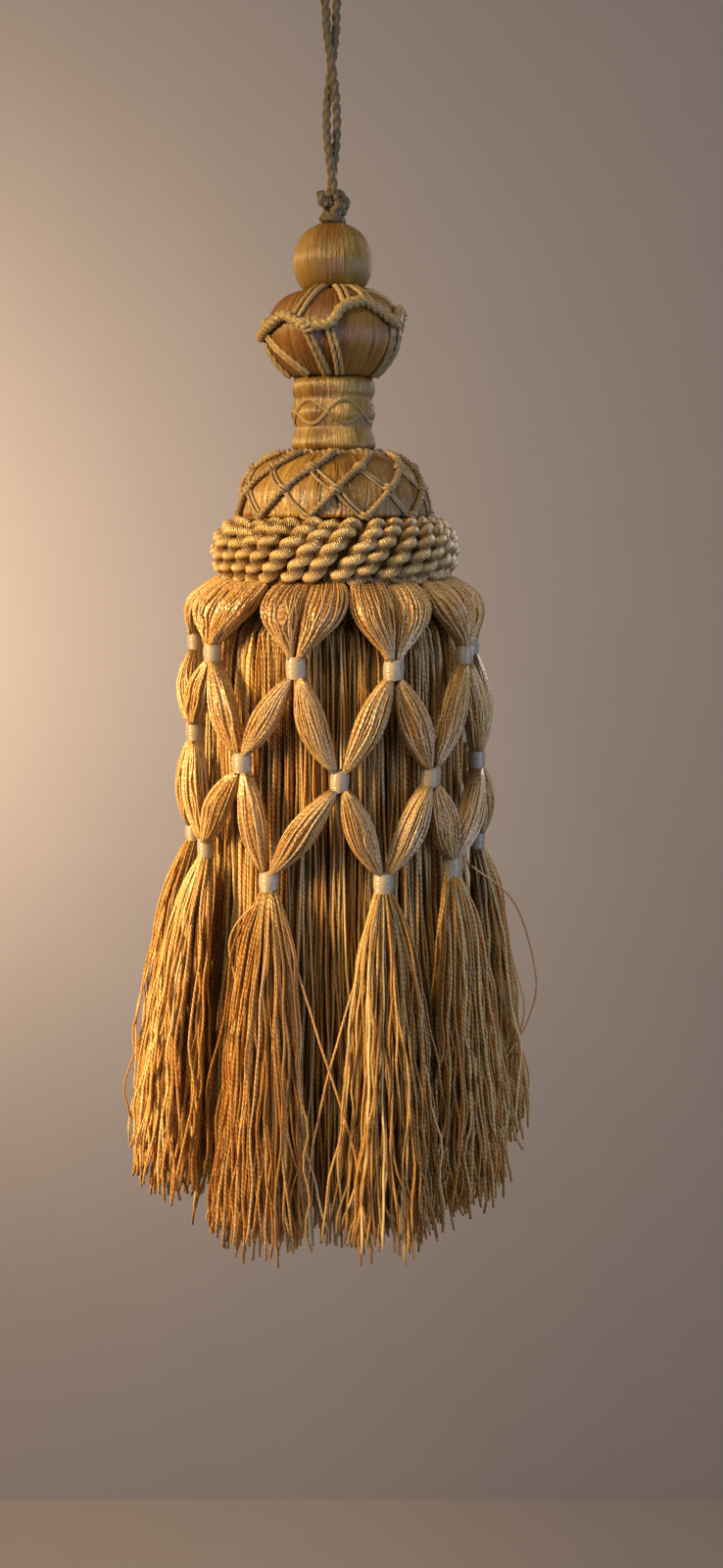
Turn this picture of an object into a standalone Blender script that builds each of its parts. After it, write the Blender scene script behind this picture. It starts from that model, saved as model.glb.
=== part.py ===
"""Curtain tieback tassel, hanging from its cord.

Metres, +Z up. The origin is the inside of the hanging loop's top, where a hook carries it.
Tables and driving sizes are in millimetres. A drop is a distance below the top of the ball.
An angle is in degrees round the tassel, 0 at the front (-Y) and 90 at +X.
"""

import math
import random

import bmesh
import bpy
import numpy as np
from mathutils import Vector

MM = 0.001
WELD = 0.00001
OBJECT_NAME = "curtain_tieback_tassel"

# The hanging cord: one length, doubled, its two legs wound round each other.
HANG = 84.5
CORD_THICK = 2.1
LEG_SPACING = 2.4
HALF_TURN = 23.2
EYE_FOOT = -45.3
EYE_SHAPE = (
    # drop, half width
    (-49.0, 1.9),
    (-54.5, 4.2),
    (-61.5, 6.9),
    (-69.0, 8.2),
    (-76.5, 7.6),
    (-82.5, 4.4),
)
CORD_STEP = 5.2
LEG_POINTS = 10
CURVE_FINENESS = 12

GAP = 0.3
KNOT_HEIGHT = 5.8
KNOT_SHAPE = (
    # share of the height from the top, radius
    (0.0, 1.6),
    (0.10, 2.8),
    (0.32, 3.5),
    (0.58, 3.7),
    (0.82, 3.3),
    (1.0, 2.2),
)
KNOT_TURNS = 3
KNOT_LEAN = 120.0
KNOT_RIDGE = 0.35
KNOT_SIDES = 18

BALL_SHAPE = (
    # drop, radius
    (0.0, 2.4),
    (0.6, 4.6),
    (2.0, 6.8),
    (4.3, 8.4),
    (7.5, 9.3),
    (10.4, 9.0),
    (12.8, 8.0),
    (14.3, 6.6),
    (14.6, 5.6),
)
BEAD_SHAPE = (
    # drop, radius
    (14.9, 6.0),
    (15.2, 9.2),
    (16.6, 12.2),
    (19.0, 14.5),
    (22.0, 15.7),
    (25.2, 15.9),
    (28.2, 15.1),
    (31.0, 13.3),
    (33.2, 11.2),
    (34.4, 9.8),
    (34.6, 8.8),
)
NECK_SHAPE = (
    # drop, radius
    (34.9, 8.8),
    (35.2, 10.0),
    (36.4, 10.6),
    (38.2, 10.3),
    (39.8, 9.8),
    (42.9, 10.5),
    (46.2, 9.9),
    (47.6, 9.8),
    (49.2, 10.4),
    (50.4, 10.7),
    (51.0, 9.8),
)
DOME_SHAPE = (
    # drop, radius
    (51.3, 9.4),
    (51.6, 11.6),
    (53.3, 16.0),
    (55.6, 18.9),
    (58.4, 21.1),
    (61.5, 22.3),
    (66.1, 22.7),
)
TURNED_SIDES = 24
DOME_SIDES = 36
SLOPE_SPAN = 0.8

# The cords laid over the bead.
BEAD_CORD = 1.9
BEAD_CLEAR = 0.45
SCALLOPS = 5
SCALLOP_FIRST = -18.0
SCALLOP_HIGH = 18.9
SCALLOP_LOW = 24.0
SCALLOP_STEPS = 10
SCALLOP_KNOT = 1.45
STAY_SPACING = 2.3
STAYS = 4
STAY_FOOT = 33.4
STAY_LEANS = (13.0, 10.0, 12.0, 9.0, 15.0)
STAY_STEPS = 3
STAY_GIRTH = 0.9

# The net of cord over the dome: rows of knots, each half a mesh on from the last.
NET_MESHES = 11
NET_ROWS = (52.6, 56.0, 60.6, 65.5)
NET_STRIP = 0.85
NET_LIFT = 0.75
NET_THICK = 0.9
NET_RIDGE = 0.45

# The roped collar.
ROPES = 32
ROPE_POINTS = (0.75, 0.75, -0.85)
ROPE_LEAN = 29.0
COLLAR_SHAPE = (
    # drop, radius, share of the rope relief
    (66.4, 23.2, 0.0),
    (66.8, 25.6, 0.6),
    (69.6, 28.8, 1.0),
    (74.6, 30.5, 1.0),
    (80.6, 30.0, 1.0),
    (82.3, 27.4, 0.5),
    (82.3, 22.8, 0.0),
)

# The lattice: ties in three rows, each tie between two of the row above.
TIES_ROUND = 10
TIE_ROWS = (
    # ring radius, then the angle and the drop of each tie
    (34.2, ((-12.3, 99.2), (22.8, 99.9), (59.6, 98.4), (96.0, 99.5), (131.0, 98.8),
            (168.0, 99.7), (204.0, 98.5), (239.0, 99.0), (274.0, 100.1), (310.6, 97.5))),
    (36.0, ((3.1, 125.6), (37.3, 124.9), (72.0, 125.5), (112.0, 125.0), (148.0, 126.0),
            (186.0, 125.0), (221.0, 124.2), (256.0, 125.5), (291.5, 120.7), (327.5, 121.4))),
    (36.6, ((18.3, 149.6), (50.0, 148.9), (90.0, 150.6), (129.0, 149.4), (166.0, 150.2),
            (203.0, 149.0), (239.0, 150.5), (273.0, 149.0), (307.5, 145.6), (338.5, 149.8))),
)
LOBES = (-9.6, 26.2, 62.0, 98.0, 134.0, 170.0, 206.0, 242.0, 279.0, 316.0)
TIE_HALF_WIDTH = 2.55
TIE_HALF_DEPTH = 2.4
TIE_HALF_HEIGHT = 2.8
TIE_RINGS = (
    # height from the middle as a share of the half height, girth
    (1.0, 0.92),
    (0.5, 1.10),
    (-0.5, 1.10),
    (-1.0, 0.92),
)
TIE_ARC = (36.0, 72.0, 108.0, 144.0)
SPINDLE = (
    # share of the way down, share of the fullness
    (0.24, 0.80),
    (0.50, 1.0),
    (0.76, 0.76),
)
SPINDLE_HALF_WIDTH = 4.6
SPINDLE_HALF_DEPTH = 3.5
SPINDLE_BOW = 1.0
HEXAGON_SHOULDER = 0.55
LOBE_ROWS = (
    # share of the way down, ring radius, outer reach, half depth
    (0.0, 26.6, 7.5, 1.7),
    (0.32, 30.9, 8.9, 3.5),
    (0.62, 32.9, 7.4, 3.6),
    (0.84, 33.7, 4.5, 3.0),
)
PARTING = 0.2
LOBE_ROOT = 83.7
BACKING = ((82.6, 22.0), (82.6, 29.0), (84.6, 29.0), (84.6, 22.0))

# The tufts below the last row of ties, as locks that fan out.
LOCKS = 10
LOCK_TURN = 137.5
LOCK_SHARE = 0.2
LOCK_ROOT = 0.9
FAN_ROOT = (1.75, 1.6)
FAN_END = (12.2, 6.6)
FAN_SPREAD = 0.65
TUFT_RADIUS = 47.4
LOCK_RINGS = (0.0, 0.16, 0.52, 1.0)
TUFT_ENDS = (243.5, 239.0, 233.0, 239.0, 242.0, 241.0, 239.0, 236.0, 239.0, 244.0)
LOCK_UNEVEN = 3.0
LOCK_OUTLINE = ((0.0, 1.0), (-1.0, -0.7), (1.0, -0.7))

# The inner skirt: rings of strands out of the core.
CORE = ((66.4, 19.5), (66.9, 21.3), (85.6, 21.3), (86.0, 20.9))
SKIRT_RINGS = (
    # strands, radius at the core, at the first tie, at the last tie and at the end
    (42, 19.4, 28.6, 30.4, 37.0),
    (28, 15.6, 25.0, 26.6, 31.5),
    (16, 11.2, 20.5, 22.0, 25.0),
)
SKIRT_DROPS = (85.0, 99.0, 160.0, 246.0)
SKIRT_FILL = 0.36
STRAND_HALF_DEPTH = (0.7, 1.0, 1.1, 1.2)
SKIRT_UNEVEN = 3.0
SEED = 11


def height(drop):
    """World height of a drop."""
    return -(HANG + drop) * MM


def spot(angle, radius, drop, aside=0.0, out=0.0):
    """World point at an angle, radius and drop, moved aside along the girth and out from the axis."""
    turn = math.radians(angle)
    reach = radius + out
    x = reach * math.sin(turn) + aside * math.cos(turn)
    y = -reach * math.cos(turn) + aside * math.sin(turn)
    return (x * MM, y * MM, height(drop))


def radius_at(profile, drop):
    """Radius of a turned shape at a drop."""
    rows = np.array(profile, float)
    return float(np.interp(drop, rows[:, 0], rows[:, 1]))


def over(profile, drop, lift):
    """Radius and drop of a point lifted square off a turned shape."""
    slope = radius_at(profile, drop + SLOPE_SPAN) - radius_at(profile, drop - SLOPE_SPAN)
    tilt = math.atan2(slope, 2 * SLOPE_SPAN)
    return radius_at(profile, drop) + lift * math.cos(tilt), drop - lift * math.sin(tilt)


def smooth_path(points, step):
    """Points about a step apart on a Catmull-Rom curve through the given ones."""
    way = np.array(points, float)
    way = np.vstack([2 * way[0] - way[1], way, 2 * way[-1] - way[-2]])
    dense = []
    for a, b, c, d in zip(way, way[1:], way[2:], way[3:]):
        for t in np.linspace(0.0, 1.0, CURVE_FINENESS, endpoint=False):
            dense.append(0.5 * (2 * b + (c - a) * t + (2 * a - 5 * b + 4 * c - d) * t**2
                                + (3 * b - a - 3 * c + d) * t**3))
    dense = np.array(dense + [way[-2]])
    run = np.concatenate([[0.0], np.cumsum(np.linalg.norm(np.diff(dense, axis=0), axis=1))])
    even = np.linspace(0.0, run[-1], int(round(run[-1] / step)) + 1)
    return np.column_stack([np.interp(even, run, dense[:, axis]) for axis in range(3)])


def clear_scene():
    for thing in list(bpy.data.objects):
        bpy.data.objects.remove(thing, do_unlink=True)


def new_collection(name):
    group = bpy.data.collections.new(name)
    bpy.context.scene.collection.children.link(group)
    return group


def finish_material(name, colour, roughness):
    """A plain yarn or floss finish."""
    finish = bpy.data.materials.new(name)
    finish.use_nodes = True
    shader = finish.node_tree.nodes["Principled BSDF"]
    shader.inputs["Base Color"].default_value = (*colour, 1.0)
    shader.inputs["Roughness"].default_value = roughness
    shader.inputs["Metallic"].default_value = 0.0
    return finish


def add_piece(name, mesh, group, finish):
    piece = bpy.data.objects.new(name, mesh)
    piece.data.materials.append(finish)
    group.objects.link(piece)
    return piece


def add_guide(name, mesh, group):
    """A helper body, joined to a piece by a Boolean and not a part itself."""
    guide = bpy.data.objects.new(name, mesh)
    guide.hide_render = True
    guide.display_type = "WIRE"
    group.objects.link(guide)
    return guide


def join_guide(piece, guide):
    """Fuses a guide to a piece."""
    union = piece.modifiers.new("join_" + guide.name, "BOOLEAN")
    union.operation = "UNION"
    union.solver = "EXACT"
    union.object = guide


def mesh_from(shape, name):
    """A mesh of a closed bmesh, its faces turned outwards and shaded smooth."""
    bmesh.ops.recalc_face_normals(shape, faces=shape.faces)
    mesh = bpy.data.meshes.new(name)
    shape.to_mesh(mesh)
    shape.free()
    mesh.shade_smooth()
    return mesh


def turned(name, profile, sides, group, finish):
    """A turned body: the profile, run down its outer side from axis to axis, on a Screw."""
    corners = [(0.0, 0.0, height(profile[0][0]))]
    corners += [(radius * MM, 0.0, height(drop)) for drop, radius in profile]
    corners += [(0.0, 0.0, height(profile[-1][0]))]
    mesh = bpy.data.meshes.new(name)
    mesh.from_pydata(corners, [(i, i + 1) for i in range(len(corners) - 1)], [])
    piece = add_piece(name, mesh, group, finish)
    turn = piece.modifiers.new("turn", "SCREW")
    turn.steps = sides
    turn.render_steps = sides
    turn.use_merge_vertices = True
    turn.merge_threshold = WELD
    turn.use_smooth_shade = True
    return piece


def bridge(shape, upper, lower):
    """Quads between two rings of vertices."""
    count = len(upper)
    for i in range(count):
        j = (i + 1) % count
        shape.faces.new((upper[i], upper[j], lower[j], lower[i]))


def prism(shape, rings):
    """A closed body through rings of points, capped at both ends."""
    loops = [[shape.verts.new(point) for point in ring] for ring in rings]
    for upper, lower in zip(loops, loops[1:]):
        bridge(shape, upper, lower)
    shape.faces.new(loops[0])
    shape.faces.new(loops[-1])


def cord_mesh(name, runs, thick, resolution, closed=False):
    """A mesh of round cords, one for each run of (point, girth) pairs, made as bevelled curves."""
    curve = bpy.data.curves.new(name, "CURVE")
    curve.dimensions = "3D"
    curve.bevel_depth = thick * MM / 2
    curve.bevel_resolution = resolution
    curve.use_fill_caps = True
    for run in runs:
        spline = curve.splines.new("POLY")
        spline.points.add(len(run) - 1)
        spline.use_cyclic_u = closed
        for point, (place, girth) in zip(spline.points, run):
            point.co = (*place, 1.0)
            point.radius = girth
    holder = bpy.data.objects.new(name, curve)
    bpy.context.scene.collection.objects.link(holder)
    graph = bpy.context.evaluated_depsgraph_get()
    raw = bpy.data.meshes.new_from_object(holder.evaluated_get(graph))
    bpy.data.objects.remove(holder, do_unlink=True)
    shape = bmesh.new()
    shape.from_mesh(raw)
    bmesh.ops.remove_doubles(shape, verts=shape.verts, dist=WELD)
    bpy.data.meshes.remove(raw)
    return mesh_from(shape, name)


# Hanging cord


def leg_point(drop, side):
    """A leg of the doubled cord: a helix round the cord's line, side 1 or -1."""
    turn = math.pi * (drop - EYE_FOOT) / HALF_TURN
    reach = side * LEG_SPACING / 2 * MM
    return (reach * math.cos(turn), reach * math.sin(turn), height(drop))


def cord_route():
    """Up one leg, round the eye of the loop and down the other leg."""
    knot_top = -(GAP + KNOT_HEIGHT)
    drops = np.linspace(knot_top - GAP, EYE_FOOT, LEG_POINTS)
    rise = [leg_point(drop, 1) for drop in drops]
    rise += [(wide * MM, 0.0, height(drop)) for drop, wide in EYE_SHAPE]
    crown = [(0.0, 0.0, CORD_THICK / 2 * MM)]
    fall = [(-wide * MM, 0.0, height(drop)) for drop, wide in reversed(EYE_SHAPE)]
    fall += [leg_point(drop, -1) for drop in drops[::-1]]
    return smooth_path(rise + crown + fall, CORD_STEP * MM)


def hanging_cord(group):
    """The doubled cord, as one plain tube along its whole route."""
    curve = bpy.data.curves.new("hanging_cord", "CURVE")
    curve.dimensions = "3D"
    curve.bevel_depth = CORD_THICK / 2 * MM
    curve.bevel_resolution = 2
    curve.use_fill_caps = True
    route = cord_route()
    spline = curve.splines.new("POLY")
    spline.points.add(len(route) - 1)
    for point, place in zip(spline.points, route):
        point.co = (*place, 1.0)
    cord = bpy.data.objects.new("hanging_cord", curve)
    curve.materials.append(finish_material("cord_yarn", (0.38, 0.31, 0.22), 0.75))
    group.objects.link(cord)


def top_knot(group):
    """The knot of the two legs on top of the ball, with its slanting turns raised."""
    shape = bmesh.new()
    rings = []
    for share, radius in KNOT_SHAPE:
        drop = -GAP - KNOT_HEIGHT * (1.0 - share)
        ring = []
        for side in range(KNOT_SIDES):
            angle = 360.0 * side / KNOT_SIDES
            phase = math.radians(KNOT_TURNS * (angle + KNOT_LEAN * share))
            ridge = KNOT_RIDGE * math.cos(phase) * math.sin(math.pi * share)
            ring.append(spot(angle, radius + ridge, drop))
        rings.append(ring)
    prism(shape, rings)
    finish = finish_material("knot_yarn", (0.40, 0.33, 0.23), 0.75)
    add_piece("top_knot", mesh_from(shape, "top_knot"), group, finish)


# Turned and wound head


def wound_head(group):
    """Ball, bead, neck and dome, each turned and wound with floss."""
    floss = (0.55, 0.36, 0.13)
    for name, profile, sides in (
        ("ball", BALL_SHAPE, TURNED_SIDES),
        ("bead", BEAD_SHAPE, TURNED_SIDES),
        ("neck", NECK_SHAPE, TURNED_SIDES),
        ("dome", DOME_SHAPE, DOME_SIDES),
    ):
        turned(name, profile, sides, group, finish_material(name + "_floss", floss, 0.4))


def scallop_dip(angle):
    """How low the scalloped cord hangs at an angle, from 0 at an arch to 1 at a knot."""
    return 0.5 + 0.5 * math.cos(math.radians(SCALLOPS * (angle - SCALLOP_FIRST)))


def scallop_drop(angle):
    return SCALLOP_HIGH + (SCALLOP_LOW - SCALLOP_HIGH) * scallop_dip(angle) ** 1.5


def scallop_run():
    """The scalloped cord: a wave round the bead's shoulder, thick where each scallop is knotted."""
    run = []
    for step in range(SCALLOPS * SCALLOP_STEPS):
        angle = SCALLOP_FIRST + 360.0 * step / (SCALLOPS * SCALLOP_STEPS)
        girth = 1.0 + (SCALLOP_KNOT - 1.0) * scallop_dip(angle) ** 6
        lift = BEAD_CLEAR + girth * BEAD_CORD / 2
        run.append((spot(angle, *over(BEAD_SHAPE, scallop_drop(angle), lift)), girth))
    return run


def stay_runs():
    """The short cords from the low of each scallop down to the bead's foot."""
    runs = []
    for knot, lean in enumerate(STAY_LEANS):
        for stay in range(STAYS):
            aside = (stay - (STAYS - 1) / 2) * STAY_SPACING
            fan = math.degrees(aside / radius_at(BEAD_SHAPE, SCALLOP_LOW))
            start = SCALLOP_FIRST + 360.0 * knot / SCALLOPS + fan
            first = scallop_drop(start)
            run = []
            for share in np.linspace(0.0, 1.0, STAY_STEPS + 1):
                drop = first + (STAY_FOOT - first) * share
                radius, level = over(BEAD_SHAPE, drop, BEAD_CLEAR + STAY_GIRTH * BEAD_CORD / 2)
                run.append((spot(start + lean * share, radius, level), STAY_GIRTH))
            runs.append(run)
    return runs


def bead_cords(group, guides):
    """The cords over the bead: the scalloped one and the short ones, fused where they meet."""
    scallop = cord_mesh("bead_cords", [scallop_run()], BEAD_CORD, 1, closed=True)
    finish = finish_material("bead_cord_yarn", (0.50, 0.40, 0.26), 0.6)
    piece = add_piece("bead_cords", scallop, group, finish)
    stays = add_guide("bead_stays", cord_mesh("bead_stays", stay_runs(), BEAD_CORD, 0), guides)
    join_guide(piece, stays)


def dome_net(group):
    """The net over the dome: a sheet of meshes, each inset to its cords, opened and thickened."""
    shape = bmesh.new()
    rows = []
    for row, drop in enumerate(NET_ROWS):
        angles = [360.0 * (i + 0.5 * (row % 2)) / NET_MESHES for i in range(NET_MESHES)]
        radius = radius_at(DOME_SHAPE, drop)
        rows.append([shape.verts.new(spot(angle, radius, drop)) for angle in angles])
    for i in range(NET_MESHES):
        j = (i + 1) % NET_MESHES
        shape.faces.new((rows[0][i], rows[1][i], rows[0][j]))
        for row in range(len(rows) - 2):
            left, right = (i - 1, i) if row % 2 == 0 else (i, j)
            side = rows[row + 1]
            shape.faces.new((rows[row][i], side[left], rows[row + 2][i], side[right]))
        between = j if len(rows) % 2 == 0 else i
        shape.faces.new((rows[-1][i], rows[-1][j], rows[-2][between]))
    knots = open_meshes(shape)
    for vertex in shape.verts:
        x, y, z = vertex.co
        lift = NET_LIFT + (NET_RIDGE if vertex in knots else 0.0)
        angle = math.degrees(math.atan2(x, -y))
        vertex.co = spot(angle, *over(DOME_SHAPE, -z / MM - HANG, lift))
    mesh = mesh_from(shape, "dome_net")
    outward = mesh.polygons[0].normal.dot(mesh.polygons[0].center * Vector((1, 1, 0))) > 0
    finish = finish_material("net_yarn", (0.42, 0.33, 0.21), 0.65)
    piece = add_piece("dome_net", mesh, group, finish)
    thick = piece.modifiers.new("thickness", "SOLIDIFY")
    thick.thickness = NET_THICK * MM
    thick.offset = 1.0 if outward else -1.0


def open_meshes(shape):
    """Insets each mesh of the net to leave a strip of cord, and opens it. Gives back the knots."""
    knots = set(shape.verts)
    bmesh.ops.recalc_face_normals(shape, faces=shape.faces)
    meshes = list(shape.faces)
    bmesh.ops.inset_individual(shape, faces=meshes, thickness=NET_STRIP * MM)
    bmesh.ops.delete(shape, geom=meshes, context="FACES")
    return knots


def collar(group):
    """The roped collar: its section carried round on a slant, so that each rope is a raised ridge."""
    shape = bmesh.new()
    count = ROPES * len(ROPE_POINTS)
    top, foot = COLLAR_SHAPE[0][0], COLLAR_SHAPE[-1][0]
    columns = []
    for step in range(count):
        relief = ROPE_POINTS[step % len(ROPE_POINTS)]
        column = []
        for drop, radius, share in COLLAR_SHAPE:
            angle = 360.0 * step / count + ROPE_LEAN * (foot - drop) / (foot - top)
            column.append(shape.verts.new(spot(angle, radius + relief * share, drop)))
        columns.append(column)
    for column, after in zip(columns, columns[1:] + columns[:1]):
        bridge(shape, column, after)
    finish = finish_material("collar_yarn", (0.52, 0.41, 0.24), 0.5)
    add_piece("collar", mesh_from(shape, "collar"), group, finish)


# Lattice


def tie_loop(shape, tie, radius, share, girth):
    """A ring of a tie's vertices: front, down the right side, back and up the left side."""
    angle, drop = tie
    wide, deep = TIE_HALF_WIDTH * girth, TIE_HALF_DEPTH * girth
    right = [(math.sin(math.radians(a)), math.cos(math.radians(a))) for a in TIE_ARC]
    left = [(-u, v) for u, v in reversed(right)]
    outline = [(0.0, 1.0), *right, (0.0, -1.0), *left]
    level = drop - share * TIE_HALF_HEIGHT
    return [
        shape.verts.new(spot(angle, radius, level, aside=u * wide, out=v * deep))
        for u, v in outline
    ]


def right_half(loop):
    """The right half of a tie's ring, in the order of a bundle's hexagon."""
    front, r1, r2, r3, r4, back = loop[:6]
    return [r1, front, back, r4, r3, r2]


def left_half(loop):
    front, back, l4, l3, l2, l1 = loop[0], *loop[5:]
    return [l1, l2, l3, l4, back, front]


def hexagon(shape, angle, radius, drop, wide, deep, aside=0.0):
    """A bundle's six-sided ring, from its outer point round by the left."""
    flat = HEXAGON_SHOULDER * deep
    outline = ((0, deep), (-wide, flat), (-wide, -flat), (0, -deep), (wide, -flat), (wide, flat))
    return [
        shape.verts.new(spot(angle, radius, drop, aside=aside + u, out=v)) for u, v in outline
    ]


def spindle(shape, upper, lower, start, end):
    """A bundle between two ties: full in the middle, drawn in at its ends, clear of its twins."""
    side = math.copysign(1.0, end[0] - start[0])
    span = math.radians(abs(end[0] - start[0])) * (start[1] + end[1]) / 2
    loops = [upper]
    for share, full in SPINDLE:
        angle, radius, drop = (a + (b - a) * share for a, b in zip(start, end))
        shift = TIE_HALF_WIDTH / 2 * (1.0 - 2.0 * share)
        room = min(span * share + shift, span * (1.0 - share) - shift) - PARTING
        wide = min(SPINDLE_HALF_WIDTH * full, room)
        deep = TIE_HALF_DEPTH + (SPINDLE_HALF_DEPTH - TIE_HALF_DEPTH) * full
        bow = SPINDLE_BOW * math.sin(math.pi * share)
        loops.append(hexagon(shape, angle, radius + bow, drop, wide, deep, aside=side * shift))
    loops.append(lower)
    for above, below in zip(loops, loops[1:]):
        bridge(shape, above, below)


def lobe(shape, lower, base, tie, side):
    """A bundle from under the collar to a first tie, pressed against its twin (side 1 or -1)."""
    loops = []
    tie_top = tie[1] - TIE_HALF_HEIGHT
    for share, radius, reach, deep in LOBE_ROWS:
        angle = base + (tie[0] - base) * share
        drop = LOBE_ROOT + (tie_top - LOBE_ROOT) * share
        wide = (reach - PARTING) / 2
        centre = side * (reach + PARTING) / 2
        loops.append(hexagon(shape, angle, radius, drop, wide, deep, aside=centre))
    shape.faces.new(loops[0])
    for above, below in zip(loops, loops[1:] + [lower]):
        bridge(shape, above, below)


def unwrapped(angle, near):
    """The angle, whole turns added, that is nearest to another."""
    return angle + 360.0 * round((near - angle) / 360.0)


def lattice_frame():
    """The bundles and ties as one surface: each end of a bundle shares half of a tie's ring."""
    shape = bmesh.new()
    tops, feet = [], []
    for radius, ties in TIE_ROWS:
        loops = [[tie_loop(shape, tie, radius, *ring) for ring in TIE_RINGS] for tie in ties]
        for tie in loops:
            for above, below in zip(tie, tie[1:]):
                bridge(shape, above, below)
        tops.append([tie[0] for tie in loops])
        feet.append([tie[-1] for tie in loops])
    for k, (base, tie) in enumerate(zip(LOBES, TIE_ROWS[0][1])):
        near = (unwrapped(tie[0], base), tie[1])
        lobe(shape, left_half(tops[0][k]), base, near, -1)
        lobe(shape, right_half(tops[0][k]), base, near, 1)
    for row in range(len(TIE_ROWS) - 1):
        for k in range(TIES_ROUND):
            after = (k + 1) % TIES_ROUND
            join_ties(shape, row, k, right_half(feet[row][k]), k, left_half(tops[row + 1][k]))
            join_ties(shape, row, after, left_half(feet[row][after]), k,
                      right_half(tops[row + 1][k]))
    for foot in feet[-1]:
        shape.faces.new(foot)
    return mesh_from(shape, "lattice")


def join_ties(shape, row, upper_index, upper, lower_index, lower):
    """The bundle from a tie of this row to a tie of the next."""
    radius, ties = TIE_ROWS[row]
    next_radius, next_ties = TIE_ROWS[row + 1]
    angle, drop = ties[upper_index]
    next_angle, next_drop = next_ties[lower_index]
    start = (angle, radius, drop + TIE_HALF_HEIGHT)
    end = (unwrapped(next_angle, angle), next_radius, next_drop - TIE_HALF_HEIGHT)
    spindle(shape, upper, lower, start, end)


def backing_ring():
    """The narrow strip under the collar that the lattice's bundles are bound to."""
    shape = bmesh.new()
    columns = []
    for side in range(DOME_SIDES):
        angle = 360.0 * side / DOME_SIDES
        columns.append([shape.verts.new(spot(angle, radius, drop)) for drop, radius in BACKING])
    for column, after in zip(columns, columns[1:] + columns[:1]):
        bridge(shape, column, after)
    return mesh_from(shape, "backing")


def tuft_locks():
    """The locks of all the tufts: each tuft fans out from its tie, so that no two locks cross."""
    draw = random.Random(SEED)
    shape = bmesh.new()
    radius, ties = TIE_ROWS[-1]
    for (angle, drop), end in zip(ties, TUFT_ENDS):
        root = drop + TIE_HALF_HEIGHT - LOCK_ROOT
        for i in range(LOCKS):
            reach = math.sqrt((i + 0.5) / LOCKS)
            across = reach * math.cos(math.radians(LOCK_TURN * i))
            out = reach * math.sin(math.radians(LOCK_TURN * i))
            foot = end + draw.uniform(-LOCK_UNEVEN, LOCK_UNEVEN)
            rings = []
            for share in LOCK_RINGS:
                fan = share**FAN_SPREAD
                wide = FAN_ROOT[0] + (FAN_END[0] - FAN_ROOT[0]) * fan
                deep = FAN_ROOT[1] + (FAN_END[1] - FAN_ROOT[1]) * fan
                middle = radius + (TUFT_RADIUS - radius) * fan
                level = root + (foot - root) * share
                rings.append(triangle(angle, middle, level, (across * wide, out * deep),
                                      (LOCK_SHARE * wide, LOCK_SHARE * deep)))
            prism(shape, rings)
    return mesh_from(shape, "locks")


def triangle(angle, radius, drop, centre, half):
    """A lock's three-sided ring, its point outwards."""
    return [
        spot(angle, radius, drop, aside=centre[0] + u * half[0], out=centre[1] + v * half[1])
        for u, v in LOCK_OUTLINE
    ]


def lattice(group, guides):
    """The tied outer skirt, with its backing and its tufts fused to it."""
    finish = finish_material("lattice_yarn", (0.56, 0.40, 0.20), 0.55)
    piece = add_piece("lattice", lattice_frame(), group, finish)
    join_guide(piece, add_guide("lattice_backing", backing_ring(), guides))
    join_guide(piece, add_guide("lattice_locks", tuft_locks(), guides))


# Inner skirt


def skirt_strands():
    """The strands of the inner skirt, ring by ring, from inside the core to their cut ends."""
    draw = random.Random(SEED + 1)
    shape = bmesh.new()
    for ring_number, (count, *radii) in enumerate(SKIRT_RINGS):
        for i in range(count):
            angle = 360.0 * (i + 0.5 * (ring_number % 2)) / count
            foot = SKIRT_DROPS[-1] + draw.uniform(-SKIRT_UNEVEN, SKIRT_UNEVEN)
            drops = (*SKIRT_DROPS[:-1], foot)
            rings = []
            for drop, radius, deep in zip(drops, radii, STRAND_HALF_DEPTH):
                wide = SKIRT_FILL * 2 * math.pi * radius / count
                rings.append(triangle(angle, radius, drop, (0.0, 0.0), (wide, deep)))
            prism(shape, rings)
    return mesh_from(shape, "strands")


def skirt(group, guides):
    """The inner skirt: the core that it is bound on, with the strands fused to its foot."""
    finish = finish_material("skirt_yarn", (0.50, 0.36, 0.19), 0.6)
    core = turned("skirt", CORE, TURNED_SIDES, group, finish)
    join_guide(core, add_guide("skirt_strands", skirt_strands(), guides))


clear_scene()
parts = new_collection(OBJECT_NAME)
helpers = new_collection("helpers")
hanging_cord(parts)
top_knot(parts)
wound_head(parts)
bead_cords(parts, helpers)
dome_net(parts)
collar(parts)
lattice(parts, helpers)
skirt(parts, helpers)
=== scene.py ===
import math

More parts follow.
